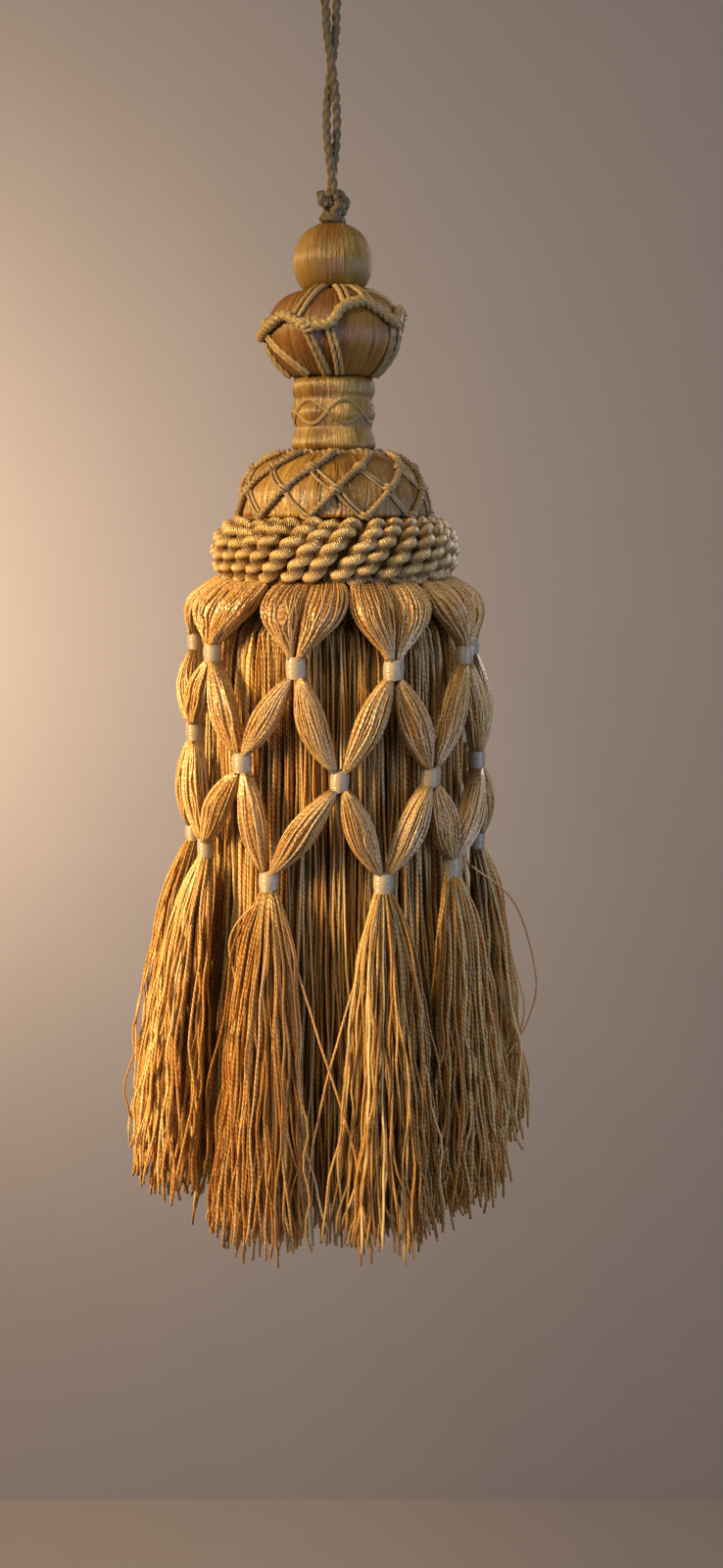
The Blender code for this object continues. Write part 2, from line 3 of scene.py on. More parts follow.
import bpy
import numpy as np
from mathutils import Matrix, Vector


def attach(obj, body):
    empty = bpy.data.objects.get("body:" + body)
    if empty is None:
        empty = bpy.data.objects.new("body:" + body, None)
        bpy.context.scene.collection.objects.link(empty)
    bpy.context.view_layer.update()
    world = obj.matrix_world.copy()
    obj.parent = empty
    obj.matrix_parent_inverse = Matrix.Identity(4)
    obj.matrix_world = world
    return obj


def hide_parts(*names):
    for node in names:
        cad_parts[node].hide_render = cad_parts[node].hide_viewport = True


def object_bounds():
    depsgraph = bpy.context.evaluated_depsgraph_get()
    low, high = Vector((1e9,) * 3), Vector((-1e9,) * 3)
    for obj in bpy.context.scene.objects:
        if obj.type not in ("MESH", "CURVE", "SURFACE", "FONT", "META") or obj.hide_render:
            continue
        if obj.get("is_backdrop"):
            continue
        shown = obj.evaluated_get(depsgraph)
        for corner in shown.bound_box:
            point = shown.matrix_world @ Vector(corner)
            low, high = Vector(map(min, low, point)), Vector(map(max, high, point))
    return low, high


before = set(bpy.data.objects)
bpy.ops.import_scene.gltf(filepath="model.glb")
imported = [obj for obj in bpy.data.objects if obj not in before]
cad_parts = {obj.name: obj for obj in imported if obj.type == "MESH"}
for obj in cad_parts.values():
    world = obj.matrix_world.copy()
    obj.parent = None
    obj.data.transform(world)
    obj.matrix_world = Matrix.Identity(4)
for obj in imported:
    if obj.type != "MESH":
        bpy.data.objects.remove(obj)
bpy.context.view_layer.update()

# The view. The tassel hangs free in front of a plain wall, 0.3 m from the lens. The studio is in metres and
# the tassel in millimetres. A drop is a distance below the ball's top, and an angle is from the front.
MM = 0.001
EYE_PLACE = (0.0068, -0.300, -0.145)
EYE_TILT = 76.0
EYE_LENS = 27.0

camera_data = bpy.data.cameras.new("camera")
camera_data.lens = EYE_LENS
camera_data.sensor_width = 36.0
camera_data.clip_start = 0.01
camera = bpy.data.objects.new("camera", camera_data)
camera.location = EYE_PLACE
camera.rotation_euler = (math.radians(EYE_TILT), 0.0, 0.0)
bpy.context.scene.collection.objects.link(camera)
bpy.context.scene.camera = camera


def node(tree, kind, inputs=None, **settings):
    """A shader node with its settings, each input either a value or a link."""
    made = tree.nodes.new(kind)
    for key, value in settings.items():
        setattr(made, key, value)
    for key, value in (inputs or {}).items():
        if isinstance(value, bpy.types.NodeSocket):
            tree.links.new(value, made.inputs[key])
        else:
            made.inputs[key].default_value = value
    return made


def new_finish(name, **constants):
    """A material with its Principled shader, and the constants that it has all over."""
    finish = bpy.data.materials.new(name)
    finish.use_nodes = True
    shader = finish.node_tree.nodes["Principled BSDF"]
    for key, value in constants.items():
        shader.inputs[key.replace("_", " ")].default_value = value
    return finish, finish.node_tree, shader


def plain_sheet(name, corners, colour):
    """A flat pale sheet of the studio, which is not part of the tassel, with a faint mottle."""
    mesh = bpy.data.meshes.new(name)
    mesh.from_pydata(corners, [], [(0, 1, 2, 3)])
    sheet = bpy.data.objects.new(name, mesh)
    finish, tree, shader = new_finish(name, Roughness=0.9)
    place = node(tree, "ShaderNodeTexCoord").outputs["Object"]
    mottle = node(tree, "ShaderNodeTexNoise", {"Vector": place, "Scale": 9.0, "Detail": 4.0})
    ramp = node(tree, "ShaderNodeValToRGB", {"Fac": mottle.outputs["Fac"]})
    ramp.color_ramp.elements[0].color = (*(0.94 * c for c in colour), 1.0)
    ramp.color_ramp.elements[1].color = (*colour, 1.0)
    tree.links.new(ramp.outputs["Color"], shader.inputs["Base Color"])
    mesh.materials.append(finish)
    bpy.context.scene.collection.objects.link(sheet)
    sheet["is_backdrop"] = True
    return sheet


WALL_BACK = 1.1
WALL_COLOUR = (0.74, 0.70, 0.69)
FLOOR = -1.56
FLOOR_COLOUR = (0.70, 0.63, 0.58)
plain_sheet("wall", [(-6, WALL_BACK, FLOOR), (6, WALL_BACK, FLOOR), (6, WALL_BACK, 5), (-6, WALL_BACK, 5)],
            WALL_COLOUR)
plain_sheet("floor", [(-6, -6, FLOOR), (6, -6, FLOOR), (6, WALL_BACK, FLOOR), (-6, WALL_BACK, FLOOR)],
            FLOOR_COLOUR)

# The light: a warm lamp in a shade on the left, whose cone starts below the ball, a cool window low on the
# right, a faint warm light from above the lens, a wash on the wall, and a soft one for the back.
LAMPS = (
    # kind, name, place, aim, size, watts, colour
    ("SPOT", "lamp_left", (-0.64, -0.31, 0.02), (0.0, 0.0, -0.315), 0.12, 54.0, (1.0, 0.655, 0.26)),
    ("AREA", "window_right", (0.62, -0.46, -0.24), (0.0, 0.0, -0.22), 0.40, 2.0, (0.60, 0.76, 1.0)),
    ("AREA", "top_soft", (-0.16, -0.46, 0.34), (0.0, 0.0, -0.22), 0.18, 1.25, (1.0, 0.72, 0.38)),
    ("AREA", "wall_wash", (-0.85, 0.50, -0.26), (-0.50, 1.1, -0.36), 0.36, 6.6, (1.0, 0.70, 0.44)),
    ("AREA", "back_soft", (0.50, 0.65, 0.10), (0.0, 0.0, -0.22), 0.40, 2.0, (1.0, 0.88, 0.78)),
)
SHADE_CONE = 34.2
for kind, name, place, aim, size, watts, colour in LAMPS:
    lamp = bpy.data.lights.new(name, kind)
    lamp.energy, lamp.color = watts, colour
    if kind == "SPOT":
        lamp.spot_size, lamp.spot_blend, lamp.shadow_soft_size = math.radians(SHADE_CONE), 0.30, size
    else:
        lamp.size = size
    holder = bpy.data.objects.new(name, lamp)
    holder.location = place
    away = [b - a for a, b in zip(place, aim)]
    holder.rotation_euler = (math.atan2(math.hypot(away[0], away[1]), -away[2]), 0.0,
                             math.atan2(away[1], away[0]) - math.pi / 2)
    bpy.context.scene.collection.objects.link(holder)
world = bpy.data.worlds.new("studio")
world.use_nodes = True
world.node_tree.nodes["Background"].inputs["Color"].default_value = (0.98, 0.92, 0.90, 1.0)
world.node_tree.nodes["Background"].inputs["Strength"].default_value = 0.125
bpy.context.scene.world = world
bpy.context.scene.view_settings.view_transform = "Standard"

# Hanging cord: one length of soft two-ply cord in a greyish yarn, doubled into a loop. Its legs are wound
# round each other the other way to its plies, and both go down into the knot.
HANG = 84.5
CORD_THICK = 2.1
LEG_SPACING = 2.4
HALF_TURN = 23.2
EYE_FOOT = -45.3
EYE_SHAPE = ((-49.0, 1.9), (-54.5, 4.2), (-61.5, 6.9), (-69.0, 8.2), (-76.5, 7.6), (-82.5, 4.4))
CORD_FOOT = -5.2
CORD_PITCH = 5.0
CORD_STEP = 0.36
LEG_POINTS = 12
FORWARD = (0.0, -1.0, 0.0)
draw = np.random.default_rng(7)


def spot(angle, radius, drop, aside=0.0, out=0.0):
    """Points at angles, radii and drops, moved aside along the girth and out from the axis."""
    turn = np.radians(angle)
    reach = radius + out
    x = reach * np.sin(turn) + aside * np.cos(turn)
    y = aside * np.sin(turn) - reach * np.cos(turn)
    return np.stack(np.broadcast_arrays(x, y, -HANG - drop), axis=-1)


def round_angles(count, turns=1):
    """Even angles round the axis, in whole turns."""
    return 360.0 * turns * np.arange(count) / count


def smooth(points, between):
    """Catmull-Rom curves through points (..., n, 3), with this many steps between each two of them."""
    p = np.asarray(points, float)
    first, last = 2 * p[..., :1, :] - p[..., 1:2, :], 2 * p[..., -1:, :] - p[..., -2:-1, :]
    p = np.concatenate([first, p, last], axis=-2)
    a, b, c, d = (p[..., i:p.shape[-2] - 3 + i, None, :] for i in range(4))
    t = np.linspace(0.0, 1.0, between, endpoint=False)[:, None]
    curve = 0.5 * (2 * b + (c - a) * t + (2 * a - 5 * b + 4 * c - d) * t**2
                   + (3 * b - a - 3 * c + d) * t**3)
    return np.concatenate([curve.reshape(*p.shape[:-2], -1, 3), p[..., -2:-1, :]], axis=-2)


def smooth_line(pairs, between):
    """The same curve through a table of two columns, with a third of noughts."""
    return smooth(np.column_stack([pairs, np.zeros(len(pairs))]), between)


def run_along(path):
    """Length from a path's start to each of its points."""
    steps = np.linalg.norm(np.diff(path, axis=-2), axis=-1)
    return np.concatenate([np.zeros_like(steps[..., :1]), np.cumsum(steps, axis=-1)], axis=-1)


def whole_turns(path, pitch):
    """The nearest pitch that goes a whole number of times into a path."""
    length = run_along(path)[-1]
    return length / round(length / pitch)


def evenly(path, step):
    """One path, with its points a step apart."""
    run = run_along(path)
    even = np.linspace(0.0, run[-1], int(round(run[-1] / step)) + 1)
    return np.column_stack([np.interp(even, run, path[:, k]) for k in range(3)])


def unit(vectors):
    """Vectors divided by their own lengths."""
    return vectors / np.maximum(np.linalg.norm(vectors, axis=-1, keepdims=True), 1e-9)


def outwards(path):
    """Level directions from the tassel's axis to each point."""
    return unit(path * (1.0, 1.0, 0.0) + (0.0, -1e-6, 0.0))


def tube(path, facing, radius):
    """Rings round one path (rows, 3) or several: path + radius * (outward cos a + sideways sin a), where
    outward is facing made square to the path. radius has a row for each point and a column for each side."""
    ahead = unit(np.gradient(path, axis=-2))
    outward = unit(facing - ahead * np.sum(facing * ahead, axis=-1, keepdims=True))
    sideways = np.cross(ahead, outward)
    a = np.radians(round_angles(radius.shape[-1]))
    ring = outward[..., None, :] * np.cos(a)[:, None] + sideways[..., None, :] * np.sin(a)[:, None]
    return path[..., None, :] + ring * radius[..., None]


def twisted(path, facing, thick, pitch, sides=12, plies=2, hand=1.0, plump=0.58):
    """Twisted cords: a tube whose outline is that of its round plies, c cos b + sqrt(p^2 - (c sin b)^2)
    for a ply of radius p at a distance c, turned once for each pitch of length."""
    around = np.radians(round_angles(sides))
    turn = around - hand * 2 * np.pi * run_along(path)[..., None] / pitch
    half = np.pi / plies
    b = (turn + half) % (2 * half) - half
    ply = plump * thick / 2
    centre = thick / 2 - ply
    return tube(path, facing, centre * np.cos(b) + np.sqrt(ply**2 - (centre * np.sin(b))**2))


def patch(grids, run=None, tone=0.5, loop=False):
    """Faces of grids (tubes, rows, sides, 3), closed round each ring and capped at both ends, or joined
    end to end in a loop. The UV map is the share of the way round and the length along, in mm."""
    grids = grids[None] if grids.ndim == 3 else grids
    count, rows, sides = grids.shape[:3]
    index = np.arange(count * rows * sides).reshape(count, rows, sides)
    run = run_along(grids[:, :, 0]) if run is None else np.broadcast_to(run, (count, rows))
    run = run + draw.uniform(0.0, 9.0, (count, 1))
    if loop:
        index = np.concatenate([index, index[:, :1]], axis=1)
        run = np.concatenate([run, run[:, -1:] + (run[:, -1:] - run[:, -2:-1])], axis=1)
    after = np.roll(index, -1, axis=2)
    quads = np.stack([index[:, :-1], after[:, :-1], after[:, 1:], index[:, 1:]], axis=-1)
    u = np.arange(sides) / sides
    near, far = (np.broadcast_to(x, quads.shape[:3]) for x in (u, u + 1 / sides))
    v0, v1 = (np.broadcast_to(run[:, s, None], quads.shape[:3]) for s in (slice(0, -1), slice(1, None)))
    maps = np.stack([np.stack([near, v0], -1), np.stack([far, v0], -1), np.stack([far, v1], -1),
                     np.stack([near, v1], -1)], axis=-2)
    corners, uv, sizes = quads.reshape(-1), maps.reshape(-1, 2), np.full(quads.size // 4, 4)
    if not loop:
        caps = np.stack([index[:, 0, ::-1], index[:, -1]], axis=1)
        ends = np.broadcast_to(run[:, [0, -1], None], caps.shape)
        flat = np.stack([np.broadcast_to(u, caps.shape), ends], axis=-1)
        corners = np.concatenate([corners, caps.reshape(-1)])
        uv = np.concatenate([uv, flat.reshape(-1, 2)])
        sizes = np.concatenate([sizes, np.full(2 * count, sides)])
    tone = np.asarray(tone, float)
    tone = tone.reshape(tone.shape + (1,) * (3 - tone.ndim)) if tone.ndim else tone
    return grids.reshape(-1, 3), corners, sizes, uv, np.broadcast_to(tone, grids.shape[:3]).reshape(-1)


def make_piece(name, patches, finish):
    """One object from patches: points in mm, faces, UV map and a tone for each point."""
    points, corners, sizes, uvs, tones = zip(*patches)
    starts = np.cumsum([0] + [len(place) for place in points])
    corners = [ring + start for ring, start in zip(corners, starts)]
    points, corners, sizes, uvs, tones = map(np.concatenate, (points, corners, sizes, uvs, tones))
    mesh = bpy.data.meshes.new(name)
    mesh.vertices.add(len(points))
    mesh.vertices.foreach_set("co", (points * MM).astype(np.float32).reshape(-1))
    mesh.loops.add(len(corners))
    mesh.loops.foreach_set("vertex_index", corners.astype(np.int32))
    mesh.polygons.add(len(sizes))
    mesh.polygons.foreach_set("loop_start", (np.cumsum(sizes) - sizes).astype(np.int32))
    mesh.update(calc_edges=True)
    mesh.uv_layers.new(name="lay").uv.foreach_set("vector", uvs.astype(np.float32).reshape(-1))
    mesh.attributes.new("tone", "FLOAT", "POINT").data.foreach_set("value", tones.astype(np.float32))
    mesh.validate()
    mesh.shade_smooth()
    mesh.materials.append(finish)
    piece = bpy.data.objects.new(name, mesh)
    bpy.context.scene.collection.objects.link(piece)
    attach(piece, "root")
    return piece


def new_group(name, sockets, outputs):
    """An empty shader node group with its named inputs and outputs."""
    group = bpy.data.node_groups.new(name, "ShaderNodeTree")
    for label, kind, start in sockets:
        socket = group.interface.new_socket(label, in_out="INPUT", socket_type=kind)
        if start is not None:
            socket.default_value = start
    for label in outputs:
        group.interface.new_socket(label, in_out="OUTPUT", socket_type="NodeSocketFloat")
    return group, group.nodes.new("NodeGroupInput").outputs, group.nodes.new("NodeGroupOutput").inputs


def math_node(tree, operation, *values):
    """The result of one Math node."""
    return node(tree, "ShaderNodeMath", dict(enumerate(values)), operation=operation).outputs[0]


# Lay of the threads: 0.5 + 0.5 sin(2 pi (Threads * around + along / Pitch)), with a little wander, and
# fibres as fine noise drawn out along the threads.
lay_group, given, result = new_group("thread_lay", (
    ("UV", "NodeSocketVector", None), ("Place", "NodeSocketVector", None),
    ("Threads", "NodeSocketFloat", 6.0), ("Pitch", "NodeSocketFloat", 3.0),
    ("Wander", "NodeSocketFloat", 0.2), ("Fibre", "NodeSocketFloat", 2600.0),
), ("Lay", "Fibres"))
apart = node(lay_group, "ShaderNodeSeparateXYZ", {0: given["UV"]})
wander = node(lay_group, "ShaderNodeTexNoise", {"Vector": given["Place"], "Scale": 700.0, "Detail": 2.0})
phase = math_node(lay_group, "MULTIPLY_ADD", apart.outputs[0], given["Threads"],
                  math_node(lay_group, "DIVIDE", apart.outputs[1], given["Pitch"]))
phase = math_node(lay_group, "MULTIPLY_ADD", wander.outputs["Fac"], given["Wander"], phase)
wave = math_node(lay_group, "SINE", math_node(lay_group, "MULTIPLY", phase, 2 * math.pi))
lay_group.links.new(math_node(lay_group, "MULTIPLY_ADD", wave, 0.5, 0.5), result["Lay"])
fibres = node(lay_group, "ShaderNodeTexNoise", {"Vector": given["Place"], "Scale": given["Fibre"],
                                                "Detail": 3.0, "Roughness": 0.6})
lay_group.links.new(fibres.outputs["Fac"], result["Fibres"])


def thread_finish(name, dark, middle, light, threads, pitch, lay_depth, rough, wander=0.2, fibre=2600.0,
                  gloss=1.0, satin=0.0, glow=0.0, tone_share=0.45, groove_shade_share=0.25, fibre_share=0.35,
                  spread=(0.25, 0.60, 0.95)):
    """Spun thread: its colour runs from dark to light with the tone of each strand, the lay of its plies
    and its fibres, and the same lay and fibres raise its surface. The lay darkens the colour in its grooves
    as painted shade. Satin is how far the shine of threads
    that run up and down is drawn out round the tassel, and glow how much light a thin strand lets through."""
    finish, tree, shader = new_finish(name, IOR=1.5, Specular_IOR_Level=gloss, Anisotropic=satin,
                                      Subsurface_Weight=glow, Subsurface_Scale=MM,
                                      Subsurface_Radius=(1.0, 0.6, 0.25))
    if satin:
        girth = node(tree, "ShaderNodeTangent", direction_type="RADIAL", axis="Z")
        tree.links.new(girth.outputs["Tangent"], shader.inputs["Tangent"])
    where = node(tree, "ShaderNodeTexCoord").outputs
    lay = node(tree, "ShaderNodeGroup", {"UV": where["UV"], "Place": where["Object"], "Threads": threads,
                                         "Pitch": pitch, "Wander": wander, "Fibre": fibre},
               node_tree=lay_group)
    tone = node(tree, "ShaderNodeAttribute", attribute_name="tone").outputs["Fac"]
    shade = math_node(tree, "MULTIPLY", tone, tone_share)
    # The lay's share darkens the colour in the grooves between plies: painted shade.
    shade = math_node(tree, "MULTIPLY_ADD", lay.outputs["Lay"], groove_shade_share, shade)
    shade = math_node(tree, "MULTIPLY_ADD", lay.outputs["Fibres"], fibre_share, shade)
    ramp = node(tree, "ShaderNodeValToRGB", {"Fac": shade})
    ramp.color_ramp.elements[0].position, ramp.color_ramp.elements[1].position = spread[0], spread[2]
    ramp.color_ramp.elements[0].color, ramp.color_ramp.elements[1].color = (*dark, 1.0), (*light, 1.0)
    ramp.color_ramp.elements.new(spread[1]).color = (*middle, 1.0)
    tree.links.new(ramp.outputs["Color"], shader.inputs["Base Color"])
    rough_at = node(tree, "ShaderNodeMapRange", {"Value": lay.outputs["Fibres"], "From Min": 0.3,
                                                 "From Max": 0.7, "To Min": rough - 0.08,
                                                 "To Max": rough + 0.10})
    tree.links.new(rough_at.outputs["Result"], shader.inputs["Roughness"])
    rise = math_node(tree, "MULTIPLY_ADD", lay.outputs["Fibres"], 0.45, lay.outputs["Lay"])
    bump = node(tree, "ShaderNodeBump", {"Height": rise, "Strength": 0.85, "Distance": lay_depth * MM})
    tree.links.new(bump.outputs["Normal"], shader.inputs["Normal"])
    return finish


# The cord's colours are its own grey-brown, darkened further as painted shade for the shade it hangs in above
# the lamp's cone.
cord_shaded_finish = thread_finish("cord_yarn", (0.050, 0.036, 0.022), (0.175, 0.136, 0.088), (0.28, 0.23, 0.16),
                            threads=9.0, pitch=4.2, lay_depth=0.07, rough=0.55, gloss=0.4, tone_share=0.4,
                            groove_shade_share=0.10, fibre_share=0.4, wander=0.6, spread=(0.22, 0.5, 0.8))

cord_drops = np.linspace(CORD_FOOT, EYE_FOOT, LEG_POINTS)
eye_drops, eye_wide = np.array(EYE_SHAPE).T


def leg(drops, side):
    """A leg of the cord: a helix of half the legs' spacing, half a turn in each half-turn length."""
    turn = np.pi * (drops - EYE_FOOT) / HALF_TURN
    reach = side * LEG_SPACING / 2
    return np.stack([reach * np.cos(turn), reach * np.sin(turn), -HANG - drops], axis=-1)


def eye_side(side):
    """One side of the loop's eye, at the given widths and drops."""
    return np.stack([side * eye_wide, 0 * eye_wide, -HANG - eye_drops], axis=-1)


cord_path = np.concatenate([leg(cord_drops, 1), eye_side(1), [[0.0, 0.0, CORD_THICK / 2]],
                            eye_side(-1)[::-1], leg(cord_drops[::-1], -1)])
cord_path = evenly(smooth(cord_path, 12), CORD_STEP)
hanging_cord = make_piece("cord_two_ply", [
    patch(twisted(cord_path, FORWARD, CORD_THICK, CORD_PITCH, sides=18, plump=0.68)),
], cord_shaded_finish)
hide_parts("hanging_cord")

# Knot: both legs of the cord tied in one overhand knot on top of the ball, over one turn of the cord, with
# the cut tip of the cord standing out at its upper left.
KNOT_MIDDLE = 4.3
KNOT_SCALE = 0.94
KNOT_DEPTH = 1.15
KNOT_TILT = 52.0
KNOT_ASIDE = 0.3
KNOT_CORD, KNOT_PITCH = 2.75, 5.0
COIL_RADIUS, COIL_RISE, COIL_SWAY, COIL_PITCH = 2.2, 1.1, 0.35, 3.46
KNOT_TIP = ((-1.3, -1.7, 3.9), (-2.4, -2.0, 5.5), (-2.7, -2.0, 6.9))
TIP_PITCH = 4.0

# The trefoil knot (sin t + 2 sin 2t, cos t - 2 cos 2t, -sin 3t), scaled and tilted towards the viewer.
t = np.linspace(0.0, 2 * np.pi, 110, endpoint=False)
knot_way = np.stack([KNOT_SCALE * (np.sin(t) + 2 * np.sin(2 * t)),
                     KNOT_SCALE * (np.cos(t) - 2 * np.cos(2 * t)),
                     -KNOT_DEPTH * np.sin(3 * t)], axis=-1)
tilt = math.radians(KNOT_TILT)
turned = np.array([[1, 0, 0], [0, math.cos(tilt), -math.sin(tilt)], [0, math.sin(tilt), math.cos(tilt)]])
knot_way = knot_way @ turned.T + (KNOT_ASIDE, 0.0, KNOT_MIDDLE - HANG)
knot_facing = unit(knot_way - knot_way.mean(axis=0) + (0.01, 0.0, 0.0))
tip = smooth(np.array(KNOT_TIP) + (0.0, 0.0, -HANG), 10)
coil_turn = round_angles(60)
coil_way = spot(coil_turn, COIL_RADIUS, COIL_SWAY * np.sin(np.radians(coil_turn)) - COIL_RISE)
top_knot = make_piece("knot_tied", [
    patch(twisted(knot_way, knot_facing, KNOT_CORD, whole_turns(knot_way, KNOT_PITCH), sides=18, plump=0.70),
          loop=True),
    patch(twisted(coil_way, outwards(coil_way), CORD_THICK, COIL_PITCH, sides=12, plump=0.70), loop=True,
          tone=0.35),
    patch(twisted(tip, FORWARD, CORD_THICK, TIP_PITCH, sides=14, plump=0.70)),
], cord_shaded_finish)
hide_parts("top_knot")

# Ball: a small turned wooden ball, wound with satin floss from pole to pole, so that the threads lie
# along its meridians.
BALL_SHAPE = ((0.0, 2.0), (0.3, 4.0), (2.0, 6.8), (4.3, 8.4), (7.5, 9.3), (10.4, 9.0), (12.8, 8.0),
              (14.3, 6.6), (14.6, 5.6))
SWATCH = 7.0
RIDGE_COLS = 4


def outline(shape, rows, between=8):
    """A turned shape's smooth outline as drops, radii, the tilt of its surface and the length along it."""
    line = smooth_line(shape, between)
    run = run_along(line)
    even = np.linspace(0.0, run[-1], rows)
    drop, radius = (np.interp(even, run, line[:, k]) for k in (0, 1))
    return drop, radius, np.arctan2(np.gradient(radius), np.gradient(drop)), even


def wound(shape, rows, threads, depth, gaps, sway, mottle, pad=None):
    """A turned body wound with floss: each thread is a ridge, sin across and of its own height, that
    wanders a little sideways on its way down. A share of the threads have a sunken gap beside them, darkened
    as painted shade, the tone drifts from one swatch of threads to the next, and pad gives the height of what
    lies under the floss."""
    drop, radius, slope, run = outline(shape, rows)
    cols = threads * RIDGE_COLS
    thread = np.arange(cols) // RIDGE_COLS
    phase = (np.arange(cols) % RIDGE_COLS + 0.5) / RIDGE_COLS
    height = draw.uniform(0.4, 1.0, threads)[thread] * np.sin(np.pi * phase)**0.7
    gap_groove_and_shade = (draw.random(threads) < gaps)[thread] & (np.arange(cols) % RIDGE_COLS == 0)
    wave = draw.uniform(0, 2 * np.pi, (3, threads))
    slow = sum(np.sin(run[:, None] * k / run[-1] * 5 + wave[k - 1]) for k in (1, 2, 3)) / 3
    gap_groove_and_shade = gap_groove_and_shade * np.clip(0.5 + 1.5 * np.roll(slow, 3, axis=1)[:, thread], 0.0, 1.0)
    angle = 180.0 + 360.0 * (np.arange(cols) + 0.5) / cols + sway * 360.0 / threads * slow[:, thread]
    lift = depth * (height * (1.0 + 0.4 * slow[:, thread]) - 1.6 * gap_groove_and_shade)
    if pad is not None:
        lift = lift + pad(angle, drop[:, None])
    grid = spot(angle, radius[:, None] + lift * np.cos(slope)[:, None],
                drop[:, None] - lift * np.sin(slope)[:, None])
    swatches = draw.uniform(-1.0, 1.0, int(threads // SWATCH) + 1)
    drift = np.interp(np.arange(threads) / SWATCH, range(len(swatches)), swatches, period=threads / SWATCH)
    # The sunken gaps are lowered in tone: painted shade in the gaps.
    tone = 0.5 + mottle * drift[thread] + draw.normal(0.0, 0.05, threads)[thread] \
        + 0.4 * mottle * slow[:, thread] - gap_groove_and_shade
    return patch(grid[None][:, :, ::-1], run=run, tone=tone[None][:, :, ::-1])


FLOSS_LOOK = dict(pitch=60.0, lay_depth=0.09, wander=1.2, fibre=1500.0, satin=0.80, tone_share=0.75,
                  groove_shade_share=0.08, fibre_share=0.28, spread=(0.12, 0.52, 0.85))
floss_finish = thread_finish("head_floss", (0.065, 0.027, 0.004), (0.245, 0.132, 0.020), (0.46, 0.295, 0.070),
                             threads=210.0, rough=0.45, **FLOSS_LOOK)
ball = make_piece("ball_wound", [
    wound(BALL_SHAPE, rows=36, threads=96, depth=0.13, gaps=0.08, sway=0.4, mottle=0.22),
], floss_finish)
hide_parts("ball")

# Bead: the flattened turned bead below the ball, wound from pole to pole in the same way. Its floss is a
# deeper, browner gold.
BEAD_SHAPE = ((14.9, 6.0), (15.2, 9.2), (16.6, 12.2), (19.0, 14.5), (22.0, 15.7), (25.0, 15.9),
              (28.0, 15.1), (30.6, 13.4), (32.7, 11.4), (33.8, 9.8), (34.0, 8.8))
bead_finish = thread_finish("bead_floss", (0.040, 0.015, 0.003), (0.235, 0.100, 0.015), (0.47, 0.255, 0.050),
                            threads=360.0, rough=0.43, **FLOSS_LOOK)
bead = make_piece("bead_wound", [
    wound(BEAD_SHAPE, rows=34, threads=140, depth=0.14, gaps=0.09, sway=0.4, mottle=0.26),
], bead_finish)
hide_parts("bead")

# Cords over the bead: a three-ply cord looped about its shoulder, with five small knots in it, pairs of fine
# short cords down to the bead's foot, and pairs up to the ball.
BAND = (
    # angle and drop of the looped band, once round
    (-77.0, 24.6), (-58.0, 23.2), (-40.0, 21.9), (-24.0, 23.7), (-12.0, 24.2), (-1.0, 23.7), (9.0, 20.7),
    (19.0, 19.6), (30.0, 19.4), (41.0, 20.7), (51.0, 22.1), (61.0, 22.4), (71.0, 20.6), (82.0, 19.6),
    (94.0, 19.8), (107.0, 21.6), (119.0, 23.6), (131.0, 24.0), (143.0, 21.6), (155.0, 19.8), (168.0, 19.5),
    (182.0, 21.2), (195.0, 23.5), (208.0, 23.7), (220.0, 21.4), (232.0, 20.0), (244.0, 20.3), (258.0, 22.8),
    (271.0, 24.6),
)
BAND_START = BAND[0][0]
BAND_CORD, BAND_PITCH = 2.55, 5.4
STAY_CORD, STAY_PITCH = 1.18, 4.2
STAY_GAP = 1.16
STAY_PAIRS = ((-70.0, -34.0), (-20.0, -7.5), (-1.5, 9.0), (58.0, 65.0), (72.0, 77.0), (121.0, 131.0),
              (135.0, 143.0), (197.0, 207.0), (211.0, 219.0), (262.0, 273.0), (276.0, 284.0))
STAY_FOOT = 33.5
RISER_CORD, RISER_PITCH = 1.25, 3.2
RISER_TOP = 14.95
RISER_PAIRS = ((-16.0, -31.0), (9.5, 13.5), (30.5, 37.5), (82.0, 86.0), (101.0, 107.0), (152.0, 157.0),
               (173.0, 179.0), (226.0, 230.0), (245.0, 251.0))
KNOT_ANGLES = (-20.5, 71.0, 126.0, 203.0, 250.0)
KNOT_LIFT = 1.7
KNOT_LOOPS = (
    # lean in radians, half width, half height and rise of each loop of a small knot
    (0.30, 2.0, 1.05, 0.1),
    (-0.35, 1.5, 0.7, 0.55),
    (0.5, 0.85, 0.4, 0.9),
)
KNOT_YARN, KNOT_TURN = 1.15, 2.4
CORD_CLEAR = 0.15
TILT_REACH = 0.8


def radius_at(shape, drop):
    """A turned shape's radius at a drop, straight between its points."""
    return np.interp(drop, *np.array(shape).T)


def lying(shape, angle, drop, lift):
    """Points lifted square off a turned shape, and the directions that the shape faces there."""
    wider = radius_at(shape, drop + TILT_REACH) - radius_at(shape, drop - TILT_REACH)
    tilt = np.arctan2(wider, 2 * TILT_REACH)
    place = spot(angle, radius_at(shape, drop) + lift * np.cos(tilt), drop - lift * np.sin(tilt))
    turn = np.radians(angle)
    face = np.stack(np.broadcast_arrays(np.sin(turn) * np.cos(tilt), -np.cos(turn) * np.cos(tilt),
                                        np.sin(tilt)), axis=-1)
    return place, face


def beside(path, facing, shift):
    """Paths moved sideways along the surface that they lie on."""
    return path + unit(np.cross(unit(np.gradient(path, axis=-2)), facing)) * shift


band_keys = np.array(BAND)
band_keys = np.concatenate([band_keys[-3:] - (360.0, 0.0), band_keys, band_keys[:3] + (360.0, 0.0)])
band_line = smooth_line(band_keys, 12)


def band_drop(angle):
    """The band's drop at an angle, read off its smooth line once round."""
    return np.interp((np.asarray(angle) - BAND_START) % 360.0 + BAND_START, band_line[:, 0], band_line[:, 1])


